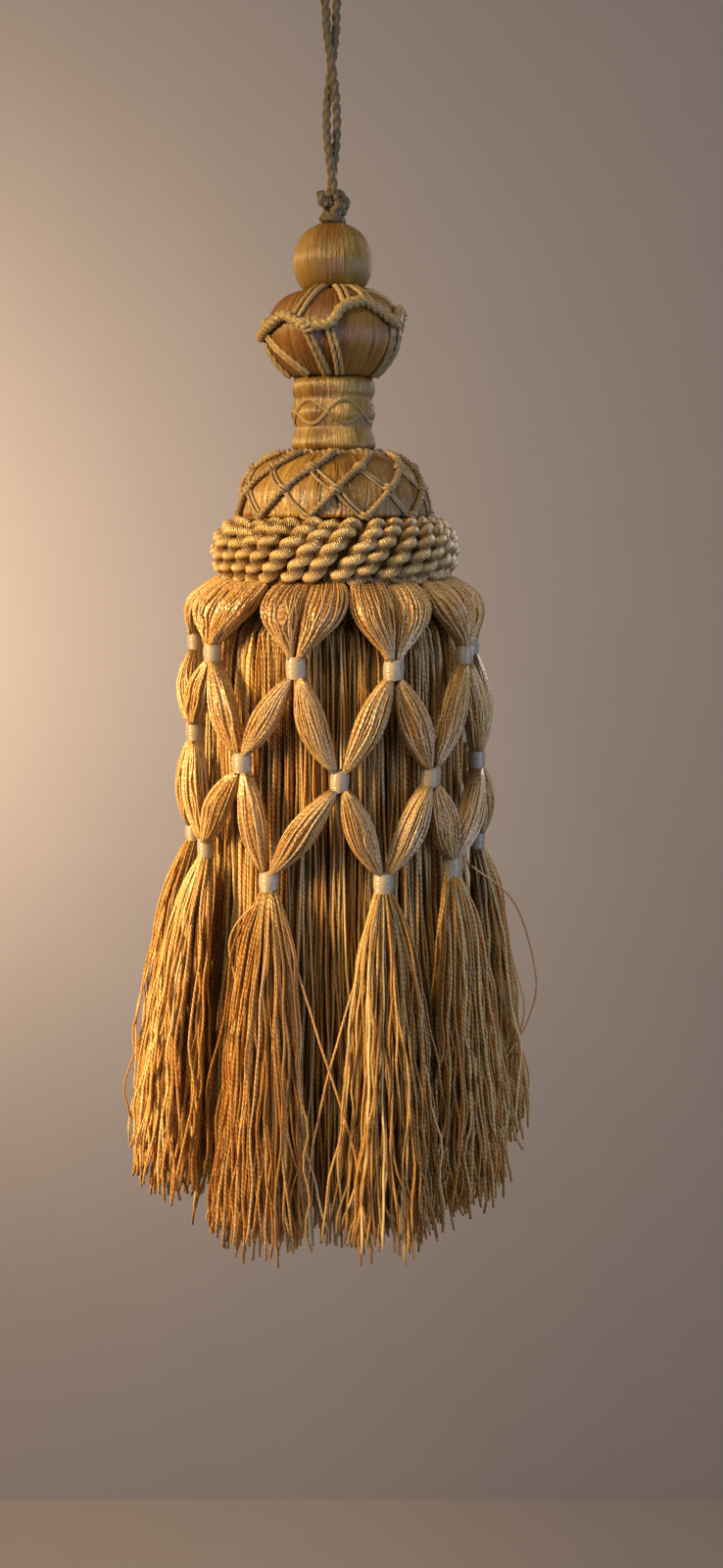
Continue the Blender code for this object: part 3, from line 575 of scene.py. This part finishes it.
trim_finish = thread_finish("trim_cord", (0.12, 0.072, 0.026), (0.45, 0.330, 0.155), (0.68, 0.54, 0.31),
                            threads=8.0, pitch=1.7, lay_depth=0.05, rough=0.42, gloss=0.6, tone_share=0.4,
                            groove_shade_share=0.14, spread=(0.2, 0.52, 0.85))
band_angle = round_angles(560) + BAND_START
way, face = lying(BEAD_SHAPE, band_angle, band_drop(band_angle), CORD_CLEAR + BAND_CORD / 2)
cords = [patch(twisted(way, face, BAND_CORD, whole_turns(way, BAND_PITCH), sides=18, plies=3, plump=0.60),
               loop=True)]
share = np.linspace(0.0, 1.0, 44)
for side in (-0.5, 0.5):
    start, end = np.array(STAY_PAIRS).T[:, :, None]
    angle = start + (end - start) * share
    first = band_drop(start) + 1.0
    way, face = lying(BEAD_SHAPE, angle, first + (STAY_FOOT - first) * share, STAY_CORD * 0.42)
    way = beside(way, face, side * STAY_GAP)
    cords.append(patch(twisted(way, face, STAY_CORD, STAY_PITCH, sides=10, plump=0.74),
                       tone=draw.uniform(0.3, 0.7, (len(STAY_PAIRS), 1, 1))))
    start, end = np.array(RISER_PAIRS).T[:, :, None]
    angle = start + (end - start) * share[::2]
    last = band_drop(end) - 0.6
    way, face = lying(BEAD_SHAPE, angle, RISER_TOP + (last - RISER_TOP) * share[::2], RISER_CORD * 0.45)
    way = beside(way, face, side * (RISER_CORD + 0.25))
    cords.append(patch(twisted(way, face, RISER_CORD, RISER_PITCH, sides=10, hand=-1.0, plump=0.7),
                       tone=draw.uniform(0.4, 0.9, (len(RISER_PAIRS), 1, 1))))
spin = np.radians(round_angles(34))[:, None]
for knot_angle in KNOT_ANGLES:
    centre, face = lying(BEAD_SHAPE, knot_angle, band_drop(knot_angle) + 0.3, KNOT_LIFT)
    across = unit(np.cross(face, (0.0, 0.0, 1.0)))
    upward = np.cross(across, face)
    for lean, wide, high, rise in KNOT_LOOPS:
        loop = np.cos(spin) * wide * (across * math.cos(lean) + upward * math.sin(lean)) \
            + np.sin(spin) * high * (upward * math.cos(lean) - across * math.sin(lean)) \
            + face * (rise + 0.3 * np.sin(2 * spin))
        cords.append(patch(twisted(centre + loop, face, KNOT_YARN, whole_turns(loop, KNOT_TURN), sides=9,
                                   plump=0.68), loop=True, tone=0.75))
bead_cords = make_piece("bead_cords_plied", cords, trim_finish)
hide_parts("bead_cords")

# Neck: a turned spool with a rounded lip at each end, wound with floss. A pair of fine cords goes twice
# round its waist in waves, and crosses itself so that seven padded ovals are left.
NECK_SHAPE = ((34.2, 8.2), (34.5, 9.4), (35.8, 9.95), (37.6, 9.8), (39.1, 9.25), (42.4, 9.75), (45.4, 9.2),
              (46.2, 9.25), (48.4, 10.0), (50.0, 10.1), (50.9, 9.3))
NECK_CORD, NECK_PITCH, NECK_LIFT = 0.46, 1.5, 0.28
OVALS = 7
OVAL_FIRST = 17.0
OVAL_MIDDLE, OVAL_REACH = 42.3, 2.45
PAD_HIGH = 0.42


def neck_pad(angle, drop):
    """Height of the padding: PAD_HIGH (1 - across^2 - down^2) within each oval, and nothing outside."""
    across = ((angle - OVAL_FIRST) * OVALS / 360.0 + 0.5) % 1.0 * 2.0 - 1.0
    down = (drop - OVAL_MIDDLE) / (0.82 * OVAL_REACH)
    return PAD_HIGH * np.clip(1.0 - (1.25 * across)**2 - down**2, 0.0, 1.0)**0.6


neck = make_piece("neck_wound", [
    wound(NECK_SHAPE, rows=44, threads=96, depth=0.17, gaps=0.14, sway=0.5, mottle=0.34, pad=neck_pad),
], floss_finish)
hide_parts("neck")
round_angle = round_angles(420, turns=2)
neck_trim = []
swing = np.cos(np.radians((round_angle - OVAL_FIRST) * OVALS / 2))
for shift, tone in ((-0.20, 0.75), (0.20, 0.35)):
    way, face = lying(NECK_SHAPE, round_angle + 2.0 * np.sin(np.radians(round_angle * 2.5)),
                      OVAL_MIDDLE + OVAL_REACH * swing + 0.3 * np.sin(np.radians(round_angle * 1.5)),
                      NECK_LIFT)
    way = beside(way, face, shift)
    neck_trim.append(patch(twisted(way, face, NECK_CORD, NECK_PITCH, sides=6, plump=0.7), loop=True,
                           tone=tone))
neck_cords = make_piece("neck_cords", neck_trim, trim_finish)

# Dome: the turned dome that carries the skirt, wound with floss from the neck down. The floss has drawn
# together in places and left sunken gaps, darkened as painted shade.
DOME_SHAPE = ((51.3, 9.2), (51.6, 11.8), (53.3, 16.2), (55.6, 19.1), (58.4, 21.3), (61.5, 22.5), (66.4, 22.9))
dome_finish = thread_finish("dome_floss", (0.030, 0.012, 0.003), (0.30, 0.150, 0.024), (0.52, 0.33, 0.085),
                            threads=520.0, pitch=60.0, lay_depth=0.09, rough=0.42, wander=1.4, fibre=1500.0,
                            satin=0.75, tone_share=0.8, groove_shade_share=0.10, fibre_share=0.30,
                            spread=(0.16, 0.56, 0.92))
dome = make_piece("dome_wound", [
    wound(DOME_SHAPE, rows=30, threads=170, depth=0.20, gaps=0.24, sway=0.8, mottle=0.24),
], dome_finish)
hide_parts("dome")

# Net over the dome: eleven thick two-ply cords lean one way and eleven pairs of thinner ones cross them,
# whipped with two turns of thread where they meet, and two more cords lie round the neck's foot.
NET_MESHES = 11
NET_ROWS = (52.4, 55.8, 60.3, 66.6)
NET_FIRST = 2.5
NET_CORD, NET_PITCH, NET_LIFT = 1.80, 2.7, 0.92
PAIR_CORD, PAIR_PITCH, PAIR_LIFT, PAIR_SHIFT = 0.84, 1.6, 0.55, 0.45
RING_CORD, RING_PITCH = 1.75, 3.2
NET_RINGS = (
    # drop, radius and start of each ring's waves
    (51.7, 11.9, 0.0),
    (52.5, 13.0, 1.3),
)
WHIP_THREAD, WHIP_STEP = 0.40, 0.45
WHIP_WIDE, WHIP_DEEP, WHIP_SLANT = 1.10, 0.90, 0.35
half_mesh = 180.0 / NET_MESHES
mesh_angles = round_angles(NET_MESHES)[:, None]


def net_way(hand, sag, lift, begin=0.0):
    """Cords through one knot of each row, half a mesh further on in each, with a sag between knots."""
    share = np.linspace(begin, 3.0, 70)
    angle = NET_FIRST + mesh_angles + hand * half_mesh * (2.0 - share)
    drop = np.interp(share, range(4), NET_ROWS) + sag * np.abs(np.sin(np.pi * share))
    wobble = draw.uniform(-1.6, 1.6, (NET_MESHES, 1)) * np.sin(np.pi * share / 3.0) \
        + draw.uniform(-0.9, 0.9, (NET_MESHES, 1)) * np.sin(np.pi * share)
    return lying(DOME_SHAPE, angle + wobble, np.broadcast_to(drop, angle.shape), lift)


net_finish = thread_finish("net_cord", (0.11, 0.065, 0.026), (0.40, 0.285, 0.150), (0.62, 0.49, 0.31),
                           threads=8.0, pitch=2.0, lay_depth=0.10, rough=0.42, gloss=0.6, tone_share=0.4,
                           spread=(0.2, 0.52, 0.85))
way, face = net_way(1.0, -0.2, NET_LIFT)
net = [patch(twisted(way, face, NET_CORD, NET_PITCH, sides=10, plump=0.62),
             tone=draw.uniform(0.2, 0.6, (NET_MESHES, 1, 1)))]
for shift in (-PAIR_SHIFT, PAIR_SHIFT):
    way, face = net_way(-1.0, 0.25, PAIR_LIFT, begin=1.0)
    net.append(patch(twisted(beside(way, face, shift), face, PAIR_CORD, PAIR_PITCH, sides=8, hand=-1.0),
                     tone=draw.uniform(0.6, 1.0, (NET_MESHES, 1, 1))))
ring_angle = round_angles(340)
for drop, radius, start in NET_RINGS:
    swing = np.radians(ring_angle * NET_MESHES) + start
    way = spot(ring_angle, radius + 0.6 * np.sin(swing), drop - 0.3 * np.cos(swing))
    net.append(patch(twisted(way, outwards(way), RING_CORD, RING_PITCH, sides=9, plump=0.6), loop=True,
                     tone=0.4))
spin = np.radians(round_angles(16))[:, None]
for row in (1, 2, 3):
    angle = NET_FIRST + mesh_angles[:, 0] + half_mesh * (row % 2)
    centre, face = lying(DOME_SHAPE, angle, np.full(NET_MESHES, NET_ROWS[row] - 0.3 * (row == 3)), 0.8)
    across = unit(np.cross((0.0, 0.0, 1.0), face))
    upward = np.cross(face, across)
    along_cord = unit(across + 1.2 * upward)
    over_cord = np.cross(along_cord, face)
    for step in (-WHIP_STEP, WHIP_STEP):
        ring = centre[:, None] + step * along_cord[:, None] \
            + WHIP_WIDE * over_cord[:, None] * np.cos(spin) + WHIP_DEEP * face[:, None] * np.sin(spin) \
            + WHIP_SLANT * along_cord[:, None] * np.cos(spin)
        facing = unit(ring - centre[:, None] - step * along_cord[:, None])
        net.append(patch(tube(ring, facing, np.full((NET_MESHES, len(spin), 6), WHIP_THREAD)), loop=True,
                         tone=draw.uniform(0.3, 0.8, (NET_MESHES, 1, 1))))
dome_net = make_piece("net_plied", net, net_finish)
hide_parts("dome_net")

# Collar: thirty-two thick ropes laid side by side on a slant over a padded band. Each is two plies of gimp,
# which is a core wound closely with satin thread, twisted together.
ROPES = 32
COLLAR_LINE = ((79.9, 23.6), (80.7, 25.9), (79.6, 27.8), (76.4, 28.9), (72.8, 28.7), (70.2, 27.2),
               (68.6, 25.0), (68.3, 22.6))
ROPE_LEAN = 33.0
ROPE_THICK, ROPE_PLY, ROPE_PITCH = 4.4, 0.70, 7.8
ROPE_THREAD = 0.58
ROPE_END = 1.6
ROPE_ROWS, ROPE_SIDES = 96, 14
collar_finish = thread_finish("collar_gimp", (0.080, 0.032, 0.006), (0.50, 0.315, 0.104), (0.94, 0.75, 0.43),
                              threads=10.0, pitch=ROPE_THREAD, lay_depth=0.26, rough=0.30, wander=2.0,
                              fibre=2000.0, tone_share=0.50, groove_shade_share=0.36, fibre_share=0.46,
                              spread=(0.20, 0.62, 1.0))
share = np.linspace(0.0, 1.0, ROPE_ROWS)
rope_drop, rope_radius = outline(COLLAR_LINE, ROPE_ROWS, between=10)[:2]
rope_lean = ROPE_LEAN + draw.uniform(-3.0, 3.0, (ROPES, 1))
rope_angle = round_angles(ROPES)[:, None] + draw.uniform(-1.2, 1.2, (ROPES, 1))
rope_angle = rope_angle + rope_lean * (share - 0.5) \
    + draw.uniform(-1.0, 1.0, (ROPES, 1)) * np.sin(2 * np.pi * share)
rope_way = spot(rope_angle, rope_radius + draw.uniform(-0.25, 0.25, (ROPES, 1)),
                rope_drop + draw.uniform(-0.35, 0.35, (ROPES, 1)))
rope_run = run_along(rope_way)[..., None]
around = np.radians(round_angles(ROPE_SIDES))
turn = around - 2 * np.pi * (rope_run / (ROPE_PITCH * draw.uniform(0.93, 1.08, (ROPES, 1, 1)))
                             + draw.random((ROPES, 1, 1)))
turn = (turn + np.pi / 2) % np.pi - np.pi / 2
ply, centre = ROPE_PLY * ROPE_THICK / 2, (1.0 - ROPE_PLY) * ROPE_THICK / 2
rope_size = centre * np.cos(turn) + np.sqrt(ply**2 - (centre * np.sin(turn))**2)
ends = np.clip(np.minimum(rope_run, rope_run[:, -1:] - rope_run) / ROPE_END, 0.06, 1.0)**0.5
rope_size = rope_size * (1.0 + draw.normal(0.0, 0.014, rope_size.shape)) * ends
# The tone is lowest where each ply turns away into the crease between plies: painted shade, with a random
# share for each rope.
rope_crease_shade = -0.25 + 1.15 * np.cos(turn)**2 + draw.uniform(-0.12, 0.12, (ROPES, 1, 1))
collar = make_piece("collar_ropes", [patch(tube(rope_way, outwards(rope_way), rope_size), tone=rope_crease_shade)],
                    collar_finish)
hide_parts("collar")

# Inner skirt: straight two-ply strands, cut to an uneven length, that hang from the core under the collar
# and show through the meshes of the lattice.
SKIRT_RINGS = (
    # strands, radius at the core, at the first tie, at the last tie and at the end
    (300, 19.8, 30.2, 32.4, 43.5),
    (280, 18.0, 28.8, 30.8, 41.5),
    (210, 15.0, 26.2, 28.2, 38.0),
    (120, 11.0, 22.5, 25.0, 33.0),
)
SKIRT_DROPS = (83.5, 90.0, 99.0, 160.0, 205.0, 241.5)
STRAND, STRAND_WAVER = 0.37, 1.3
CORE_SHADE_LINE = ((66.6, 2.0), (66.7, 20.8), (82.0, 21.2), (86.0, 19.6), (90.0, 21.0), (98.0, 23.0),
             (150.0, 23.5), (200.0, 27.5), (237.0, 36.0), (235.0, 2.0))
CORE_SHADE_COLS = 180
skirt_finish = thread_finish("skirt_yarn", (0.225, 0.096, 0.012), (0.47, 0.260, 0.072), (0.85, 0.67, 0.42),
                             threads=2.0, pitch=1.35, lay_depth=0.11, rough=0.45, wander=0.9, fibre=1500.0,
                             gloss=0.7, glow=0.70, tone_share=0.48, groove_shade_share=0.32, fibre_share=0.53,
                             spread=(0.20, 0.62, 1.0))


def wavy(path, size, waves, begin=0.0):
    """Strands with a sideways and in-and-out waver that grows from nothing at the root."""
    strands, rows = path.shape[:2]
    share = np.linspace(0.0, 1.0, rows)[None, :, None]
    grow = np.clip((share - begin) / (1 - begin), 0, 1)**0.5
    phase = draw.uniform(0, 2 * np.pi, (strands, 1, 3, len(waves)))
    reach = draw.normal(0.0, 1.0, (strands, 1, 3, len(waves))) / np.array(waves)**0.7
    shift = np.sum(reach * np.sin(2 * np.pi * share[..., None] * np.array(waves) + phase), axis=-1)
    return path + size * grow * shift * (1.0, 1.0, 0.25)


def yarns(path, sides, radius, tone):
    """Round yarns of one radius along their paths."""
    return patch(tube(path, outwards(path), np.full((*path.shape[:2], sides), radius)), tone=tone)


skirt_patches = []
for count, core, first, last, end in SKIRT_RINGS:
    angle = 360.0 * (np.arange(count) + draw.uniform(-0.45, 0.45, count)) / count
    radii = np.array((core, (core + first) / 2, first, last, last + 0.55 * (end - last), end))
    radii = radii + draw.normal(0.0, 0.7, (count, 1))
    drops = np.tile(np.array(SKIRT_DROPS), (count, 1))
    drops[:, -1] += draw.normal(0.0, 2.0, count).clip(-5.0, 3.5)
    lean = draw.normal(0.0, 2.4, (count, 1)) * np.linspace(-1.0, 1.0, 6)
    way = wavy(smooth(spot(angle[:, None] + lean, radii, drops), 4), STRAND_WAVER, (1.3, 3.1, 6.5))
    skirt_patches.append(yarns(way, 3, STRAND, draw.uniform(0.0, 1.0, (count, 1, 1))**1.2))
# A dark body, tone 0.12, runs from the core under the collar down to the skirt's ends: painted shade, so the
# inside shows dark between the strands.
core_shade_line = np.array(CORE_SHADE_LINE)
ragged = np.zeros((len(core_shade_line), CORE_SHADE_COLS))
ragged[-2] = draw.uniform(-7.0, 4.0, CORE_SHADE_COLS)
core_shade_grid = spot(round_angles(CORE_SHADE_COLS), core_shade_line[:, 1:] + draw.uniform(-0.4, 0.4, (1, CORE_SHADE_COLS)),
                 core_shade_line[:, :1] + ragged)
skirt_patches.append(patch(core_shade_grid[None][:, :, ::-1], tone=0.12))
skirt = make_piece("skirt_strands", skirt_patches, skirt_finish)
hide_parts("skirt")

# Lattice bundles: hanks of fine two-ply viscose yarn. Twenty come from under the collar, and are tied in
# pairs in three rows of ten ties, where each hank leaves its partner for the next one.
TIE_ROWS = (
    # ring radius, then the angle and the drop of each tie
    (35.4, ((-13.3, 99.5), (23.6, 100.2), (63.5, 99.0), (98.0, 99.5), (132.0, 98.8),
            (168.0, 99.7), (204.0, 98.5), (239.0, 99.0), (272.5, 97.6), (306.0, 97.8))),
    (37.0, ((2.7, 125.4), (38.8, 126.1), (77.0, 126.6), (114.0, 125.0), (149.0, 126.0),
            (186.0, 125.0), (221.0, 124.2), (256.0, 123.5), (290.3, 118.6), (324.7, 122.5))),
    (37.6, ((18.6, 150.4), (50.8, 150.0), (91.0, 150.6), (129.0, 149.4), (166.0, 150.2),
            (203.0, 149.0), (239.0, 150.5), (271.0, 148.0), (301.7, 146.8), (336.0, 150.4))),
)
LOBES = (-10.0, 26.6, 64.0, 98.5, 133.0, 169.0, 205.0, 240.0, 275.0, 311.0)
TIES = len(LOBES)
TIE_WIDE, TIE_DEEP, TIE_HIGH = 2.2, 2.05, 2.55
TIE_LAP = 0.6
YARN = 0.30
YARNS = 46
HANK_SHADE_CORE = 0.93
BUNDLE_WIDE, BUNDLE_DEEP, BUNDLE_BOW = 3.95, 3.2, 1.0
LOBE_ROWS = (
    # share of the way down, ring radius, outer reach, half depth
    (0.0, 25.6, 7.2, 1.4),
    (0.10, 28.6, 9.3, 2.9),
    (0.30, 31.6, 10.2, 4.2),
    (0.52, 33.6, 9.0, 4.0),
    (0.76, 34.7, 5.4, 3.0),
    (0.92, 35.2, 2.7, 2.1),
    (1.0, 35.4, 2.0, 1.9),
)
LOBE_ROOT = 80.6
lattice_finish = thread_finish("lattice_yarn", (0.16, 0.066, 0.012), (0.57, 0.320, 0.102), (0.90, 0.71, 0.48),
                               threads=2.0, pitch=1.35, lay_depth=0.10, rough=0.30, wander=1.2, fibre=1700.0,
                               glow=0.15, tone_share=0.50, groove_shade_share=0.20, fibre_share=0.55,
                               spread=(0.18, 0.56, 0.95))


def nearest_turn(angle, near):
    """Angles moved by whole turns to within half a turn of others."""
    return angle + 360.0 * np.round((near - angle) / 360.0)


def eased(rows, table):
    """Columns of a table read off a smooth curve through its rows."""
    keys, marks = np.array(table), np.arange(8 * (len(table) - 1) + 1)
    line = np.stack([np.interp(marks, 8 * np.arange(len(keys)), keys[:, 0])] + [
        smooth(np.column_stack([keys[:, 0], keys[:, k], 0 * keys[:, 0]]), 8)[:, 1]
        for k in range(1, keys.shape[1])])
    return [np.interp(rows, line[0], column) for column in line[1:]]


def hank(angle, radius, drop, aside, wide, deep):
    """A hank of combed yarns: each keeps its place on the hank's oval, (aside + wide cos b, deep sin b), a
    little deeper or prouder than the next, and drifts a little round it. A dark core fills the hank, as
    painted shade inside it. All the inputs are (hanks, rows)."""
    hanks, rows = angle.shape
    share = np.linspace(0.0, 1.0, rows)
    wide, deep = np.maximum(wide - YARN, 0.5), np.maximum(deep - YARN, 0.5)
    place = (np.arange(YARNS)[None, :, None] + draw.uniform(-0.42, 0.42, (hanks, YARNS, 1))) / YARNS
    b = 2 * np.pi * place + draw.normal(0.0, 0.20, (hanks, YARNS, 1)) * np.sin(np.pi * share) \
        + draw.normal(0.0, 0.22, (hanks, 1, 1)) * share
    proud = 1.0 + draw.uniform(-0.07, 0.05, (hanks, YARNS, 1)) * np.sin(np.pi * share)**0.5
    b = b + draw.normal(0.0, 0.07, (hanks, YARNS, 1)) \
        * np.sin(2 * np.pi * (2.3 * share + draw.random((hanks, YARNS, 1)))) * np.sin(np.pi * share)
    give = [x[:, None, :] for x in (angle, radius, drop, aside, wide, deep)]
    way = spot(give[0], give[1], give[2], aside=give[3] + give[4] * proud * np.cos(b),
               out=give[5] * proud * np.sin(b)).reshape(hanks * YARNS, rows, 3)
    tones = 0.5 + draw.normal(0.0, 0.24, (hanks, YARNS, 1)) + draw.normal(0.0, 0.05, (hanks, 1, 1))
    yarn = yarns(way, 3, YARN, np.clip(tones, 0.0, 1.0).reshape(-1, 1, 1))
    b = np.radians(round_angles(12))
    # The core is dark, tone 0.12 to 0.16 below the ramp's middle: painted shade for the inside of the hank.
    shade_core = spot(angle[..., None], radius[..., None], drop[..., None],
                aside=aside[..., None] + HANK_SHADE_CORE * wide[..., None] * np.sin(b),
                out=HANK_SHADE_CORE * deep[..., None] * np.cos(b))
    return [yarn, patch(shade_core, tone=0.16)]


rows = np.linspace(0.0, 1.0, 14)
tie_angle, tie_drop = np.array(TIE_ROWS[0][1]).T
base = np.array(LOBES)
near = nearest_turn(tie_angle, base)
radius, reach, deep = eased(rows, LOBE_ROWS)
lobes = []
for side in (-1, 1):
    fat = draw.uniform(0.95, 1.04, (TIES, 1))
    angle = base[:, None] + (near - base)[:, None] * rows
    drop = LOBE_ROOT + (tie_drop - TIE_HIGH + TIE_LAP - LOBE_ROOT)[:, None] * rows
    lobes += hank(angle, radius + 0 * angle, drop, side * reach / 2 * fat, reach / 2 * fat, deep * fat)
lobe_piece = make_piece("lattice_lobes", lobes, lattice_finish)
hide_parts("lattice")

rows = np.linspace(0.0, 1.0, 12)
diamonds = []
for row in (0, 1):
    radius_a, ties_a = TIE_ROWS[row]
    radius_b, ties_b = TIE_ROWS[row + 1]
    angle_a, drop_a = np.array(ties_a).T
    angle_b, drop_b = np.array(ties_b).T
    for side, upper in ((1, np.arange(TIES)), (-1, (np.arange(TIES) + 1) % TIES)):
        start, low = angle_a[upper], drop_a[upper] + TIE_HIGH - TIE_LAP
        end = nearest_turn(angle_b, start)
        high = drop_b - TIE_HIGH + TIE_LAP
        full = np.sin(np.pi * rows**draw.uniform(0.88, 1.14, (TIES, 1)))**0.82
        fat = draw.uniform(0.92, 1.06, (TIES, 1))
        bend = draw.normal(0.0, 0.45, (TIES, 1)) * np.sin(np.pi * rows)
        angle = start[:, None] + (end - start)[:, None] * (rows + 0.035 * np.sin(2 * np.pi * rows))
        drop = low[:, None] + (high - low)[:, None] * rows
        radius = radius_a + (radius_b - radius_a) * rows + BUNDLE_BOW * np.sin(np.pi * rows) + 0 * angle
        aside = side * TIE_WIDE / 2 * (1 - 2 * rows) + bend
        wide = (0.95 + (BUNDLE_WIDE - 0.95) * full) * fat
        deep = (1.75 + (BUNDLE_DEEP - 1.75) * full) * fat
        diamonds += hank(angle, radius, drop, aside, wide, deep)
diamond_piece = make_piece("lattice_diamonds", diamonds, lattice_finish)
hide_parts("lattice")

# Ties: thirteen tight turns of pale satin thread, which draw each pair of hanks in to a waist and hide
# where they touch.
TIE_TURNS = 13
tie_finish = thread_finish("tie_thread", (0.16, 0.118, 0.086), (0.40, 0.338, 0.280), (0.62, 0.555, 0.485),
                           threads=1.0, pitch=0.26, lay_depth=0.03, rough=0.30, tone_share=0.5,
                           spread=(0.2, 0.5, 0.85))
b = np.radians(round_angles(14))
share = np.linspace(-1.0, 1.0, TIE_TURNS * 4 + 1)[:, None]
ties = []
for radius, places in TIE_ROWS:
    angle, drop = (x[:, None, None] for x in np.array(places).T)
    high = TIE_HIGH * draw.uniform(0.88, 1.10, (TIES, 1, 1))
    turn = np.abs(np.cos(np.pi * TIE_TURNS * share / 2 + b / 2))
    girth = (0.93 + 0.13 * np.cos(share * np.pi / 2) + 0.05 * turn) \
        * np.clip((1.02 - np.abs(share)) / 0.06, 0.3, 1.0)**0.3 * draw.uniform(0.93, 1.07, (TIES, 1, 1))
    grid = spot(angle, radius, drop + high * share + draw.uniform(-0.5, 0.5, (TIES, 1, 1)) * np.sin(b),
                aside=TIE_WIDE * girth * np.sin(b), out=TIE_DEEP * girth * np.cos(b))
    # The tone is darker between the turns of thread: painted shade in the grooves, scaled by a random share
    # for each tie.
    tone = 0.25 + 0.5 * turn * draw.uniform(0.5, 1.1, (TIES, 1, 1))
    ties.append(patch(grid[:, :, ::-1], tone=tone[:, :, ::-1]))
tie_piece = make_piece("lattice_ties", ties, tie_finish)
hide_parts("lattice")

# Tufts: below the last ties the hanks are cut and left to fan out in locks, each yarn ending at its own
# length. A few yarns have strayed from their tuft, and some are painted paler than the rest as painted
# highlight.
TUFT_YARNS = 140
TUFT_STRAND = 0.37
TUFT_LOCKS, LOCK_PULL = 30, 0.55
TUFT_WAVER = 1.1
GLINT_STRAND_SHARE = 0.13
STRAY, STRAY_WAVER = 0.27, 0.3
FAN_ROOT = (1.8, 1.7)
FAN_END = (15.2, 8.0)
FAN_OPENS = 0.52
TUFT_RADII = (46.5, 46.0, 46.5, 47.0, 47.0, 47.0, 48.0, 51.0, 52.0, 48.5)
TUFT_ENDS = (239.5, 236.5, 233.0, 239.0, 242.0, 241.0, 239.0, 234.5, 233.5, 239.5)
STRAYS = (
    # angle, radius and drop of points along yarns that have come away
    ((62.0, 39.0, 152.0), (76.0, 47.0, 163.0), (81.0, 52.0, 176.0), (82.0, 54.0, 188.0), (82.0, 52.0, 199.0),
     (79.0, 48.0, 208.0)),
    ((18.6, 38.0, 154.0), (7.0, 42.0, 174.0), (-0.5, 44.5, 193.0), (-5.5, 46.0, 211.0), (-8.5, 47.0, 227.0)),
    ((-17.0, 40.0, 160.0), (-8.0, 43.0, 178.0), (-1.0, 44.8, 195.0), (6.5, 46.5, 217.0), (6.0, 47.0, 231.0)),
    ((-24.0, 38.0, 153.0), (-38.0, 41.0, 166.0), (-33.0, 42.0, 184.0), (-36.0, 45.0, 215.0)),
    ((-62.0, 38.0, 152.0), (-74.0, 45.0, 180.0), (-78.0, 49.0, 205.0), (-84.0, 51.0, 222.0)),
    ((50.0, 38.0, 153.0), (62.0, 42.0, 172.0), (60.0, 46.0, 194.0), (64.0, 48.0, 222.0)),
    ((130.0, 38.0, 153.0), (121.0, 43.0, 176.0), (118.0, 46.5, 205.0), (112.0, 49.0, 230.0)),
    ((203.0, 38.0, 153.0), (213.0, 43.0, 180.0), (220.0, 46.5, 207.0), (228.0, 48.0, 232.0)),
)
last_radius, last_ties = TIE_ROWS[-1]
share = np.linspace(0.0, 1.0, 8)
reach = np.sqrt((np.arange(TUFT_YARNS) + 0.5) / TUFT_YARNS)[:, None]
tuft_patches = []
for (angle, drop), end, last in zip(last_ties, TUFT_ENDS, TUFT_RADII):
    turn = np.radians(137.5 * np.arange(TUFT_YARNS))[:, None] + draw.normal(0, 0.25, (TUFT_YARNS, 1))
    opens = FAN_OPENS * draw.uniform(0.75, 1.45, (TUFT_YARNS, 1))
    spread = share**opens * draw.uniform(0.78, 1.20, (TUFT_YARNS, 1))
    root = drop + TIE_HIGH - 0.8
    foot = end + draw.normal(-1.0, 2.6, (TUFT_YARNS, 1)) + 1.5 * (1 - reach)
    foot = np.minimum(foot, end + 4.0)
    side, front = reach * np.cos(turn), reach * np.sin(turn)
    leaders = slice(0, 3 * TUFT_LOCKS, 3)
    gather = 3 * np.argmin(np.hypot(side - side[leaders].T, front - front[leaders].T), axis=1)
    pull = LOCK_PULL * share**1.5
    side, front = side + pull * (side[gather] - side), front + pull * (front[gather] - front)
    lean = draw.normal(0.0, 3.0, (TUFT_YARNS, 1)) + draw.uniform(-1.5, 1.5)
    keys = spot(angle + lean * share, last_radius + (last - last_radius) * share**0.65,
                root + (foot - root) * share,
                aside=side * (FAN_ROOT[0] + (FAN_END[0] - FAN_ROOT[0]) * spread),
                out=front * (FAN_ROOT[1] + (FAN_END[1] - FAN_ROOT[1]) * spread))
    way = wavy(smooth(keys, 3), TUFT_WAVER, (1.1, 2.4, 5.0), begin=0.02)
    tone = draw.normal(0.27, 0.25, (TUFT_YARNS, 1, 1))
    # A share of the yarns are lifted to a paler tone: painted highlight.
    tone = np.clip(tone + 0.6 * (draw.random(tone.shape) < GLINT_STRAND_SHARE), 0, 1.15)
    tuft_patches.append(yarns(way, 3, TUFT_STRAND, tone))
for stray in STRAYS:
    way = wavy(smooth(spot(*np.array(stray).T), 10)[None], STRAY_WAVER, (1.5, 4.0))
    tuft_patches.append(yarns(way, 5, STRAY, tone=0.5))
tufts = make_piece("lattice_tufts", tuft_patches, skirt_finish)
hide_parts("lattice")

low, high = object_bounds()
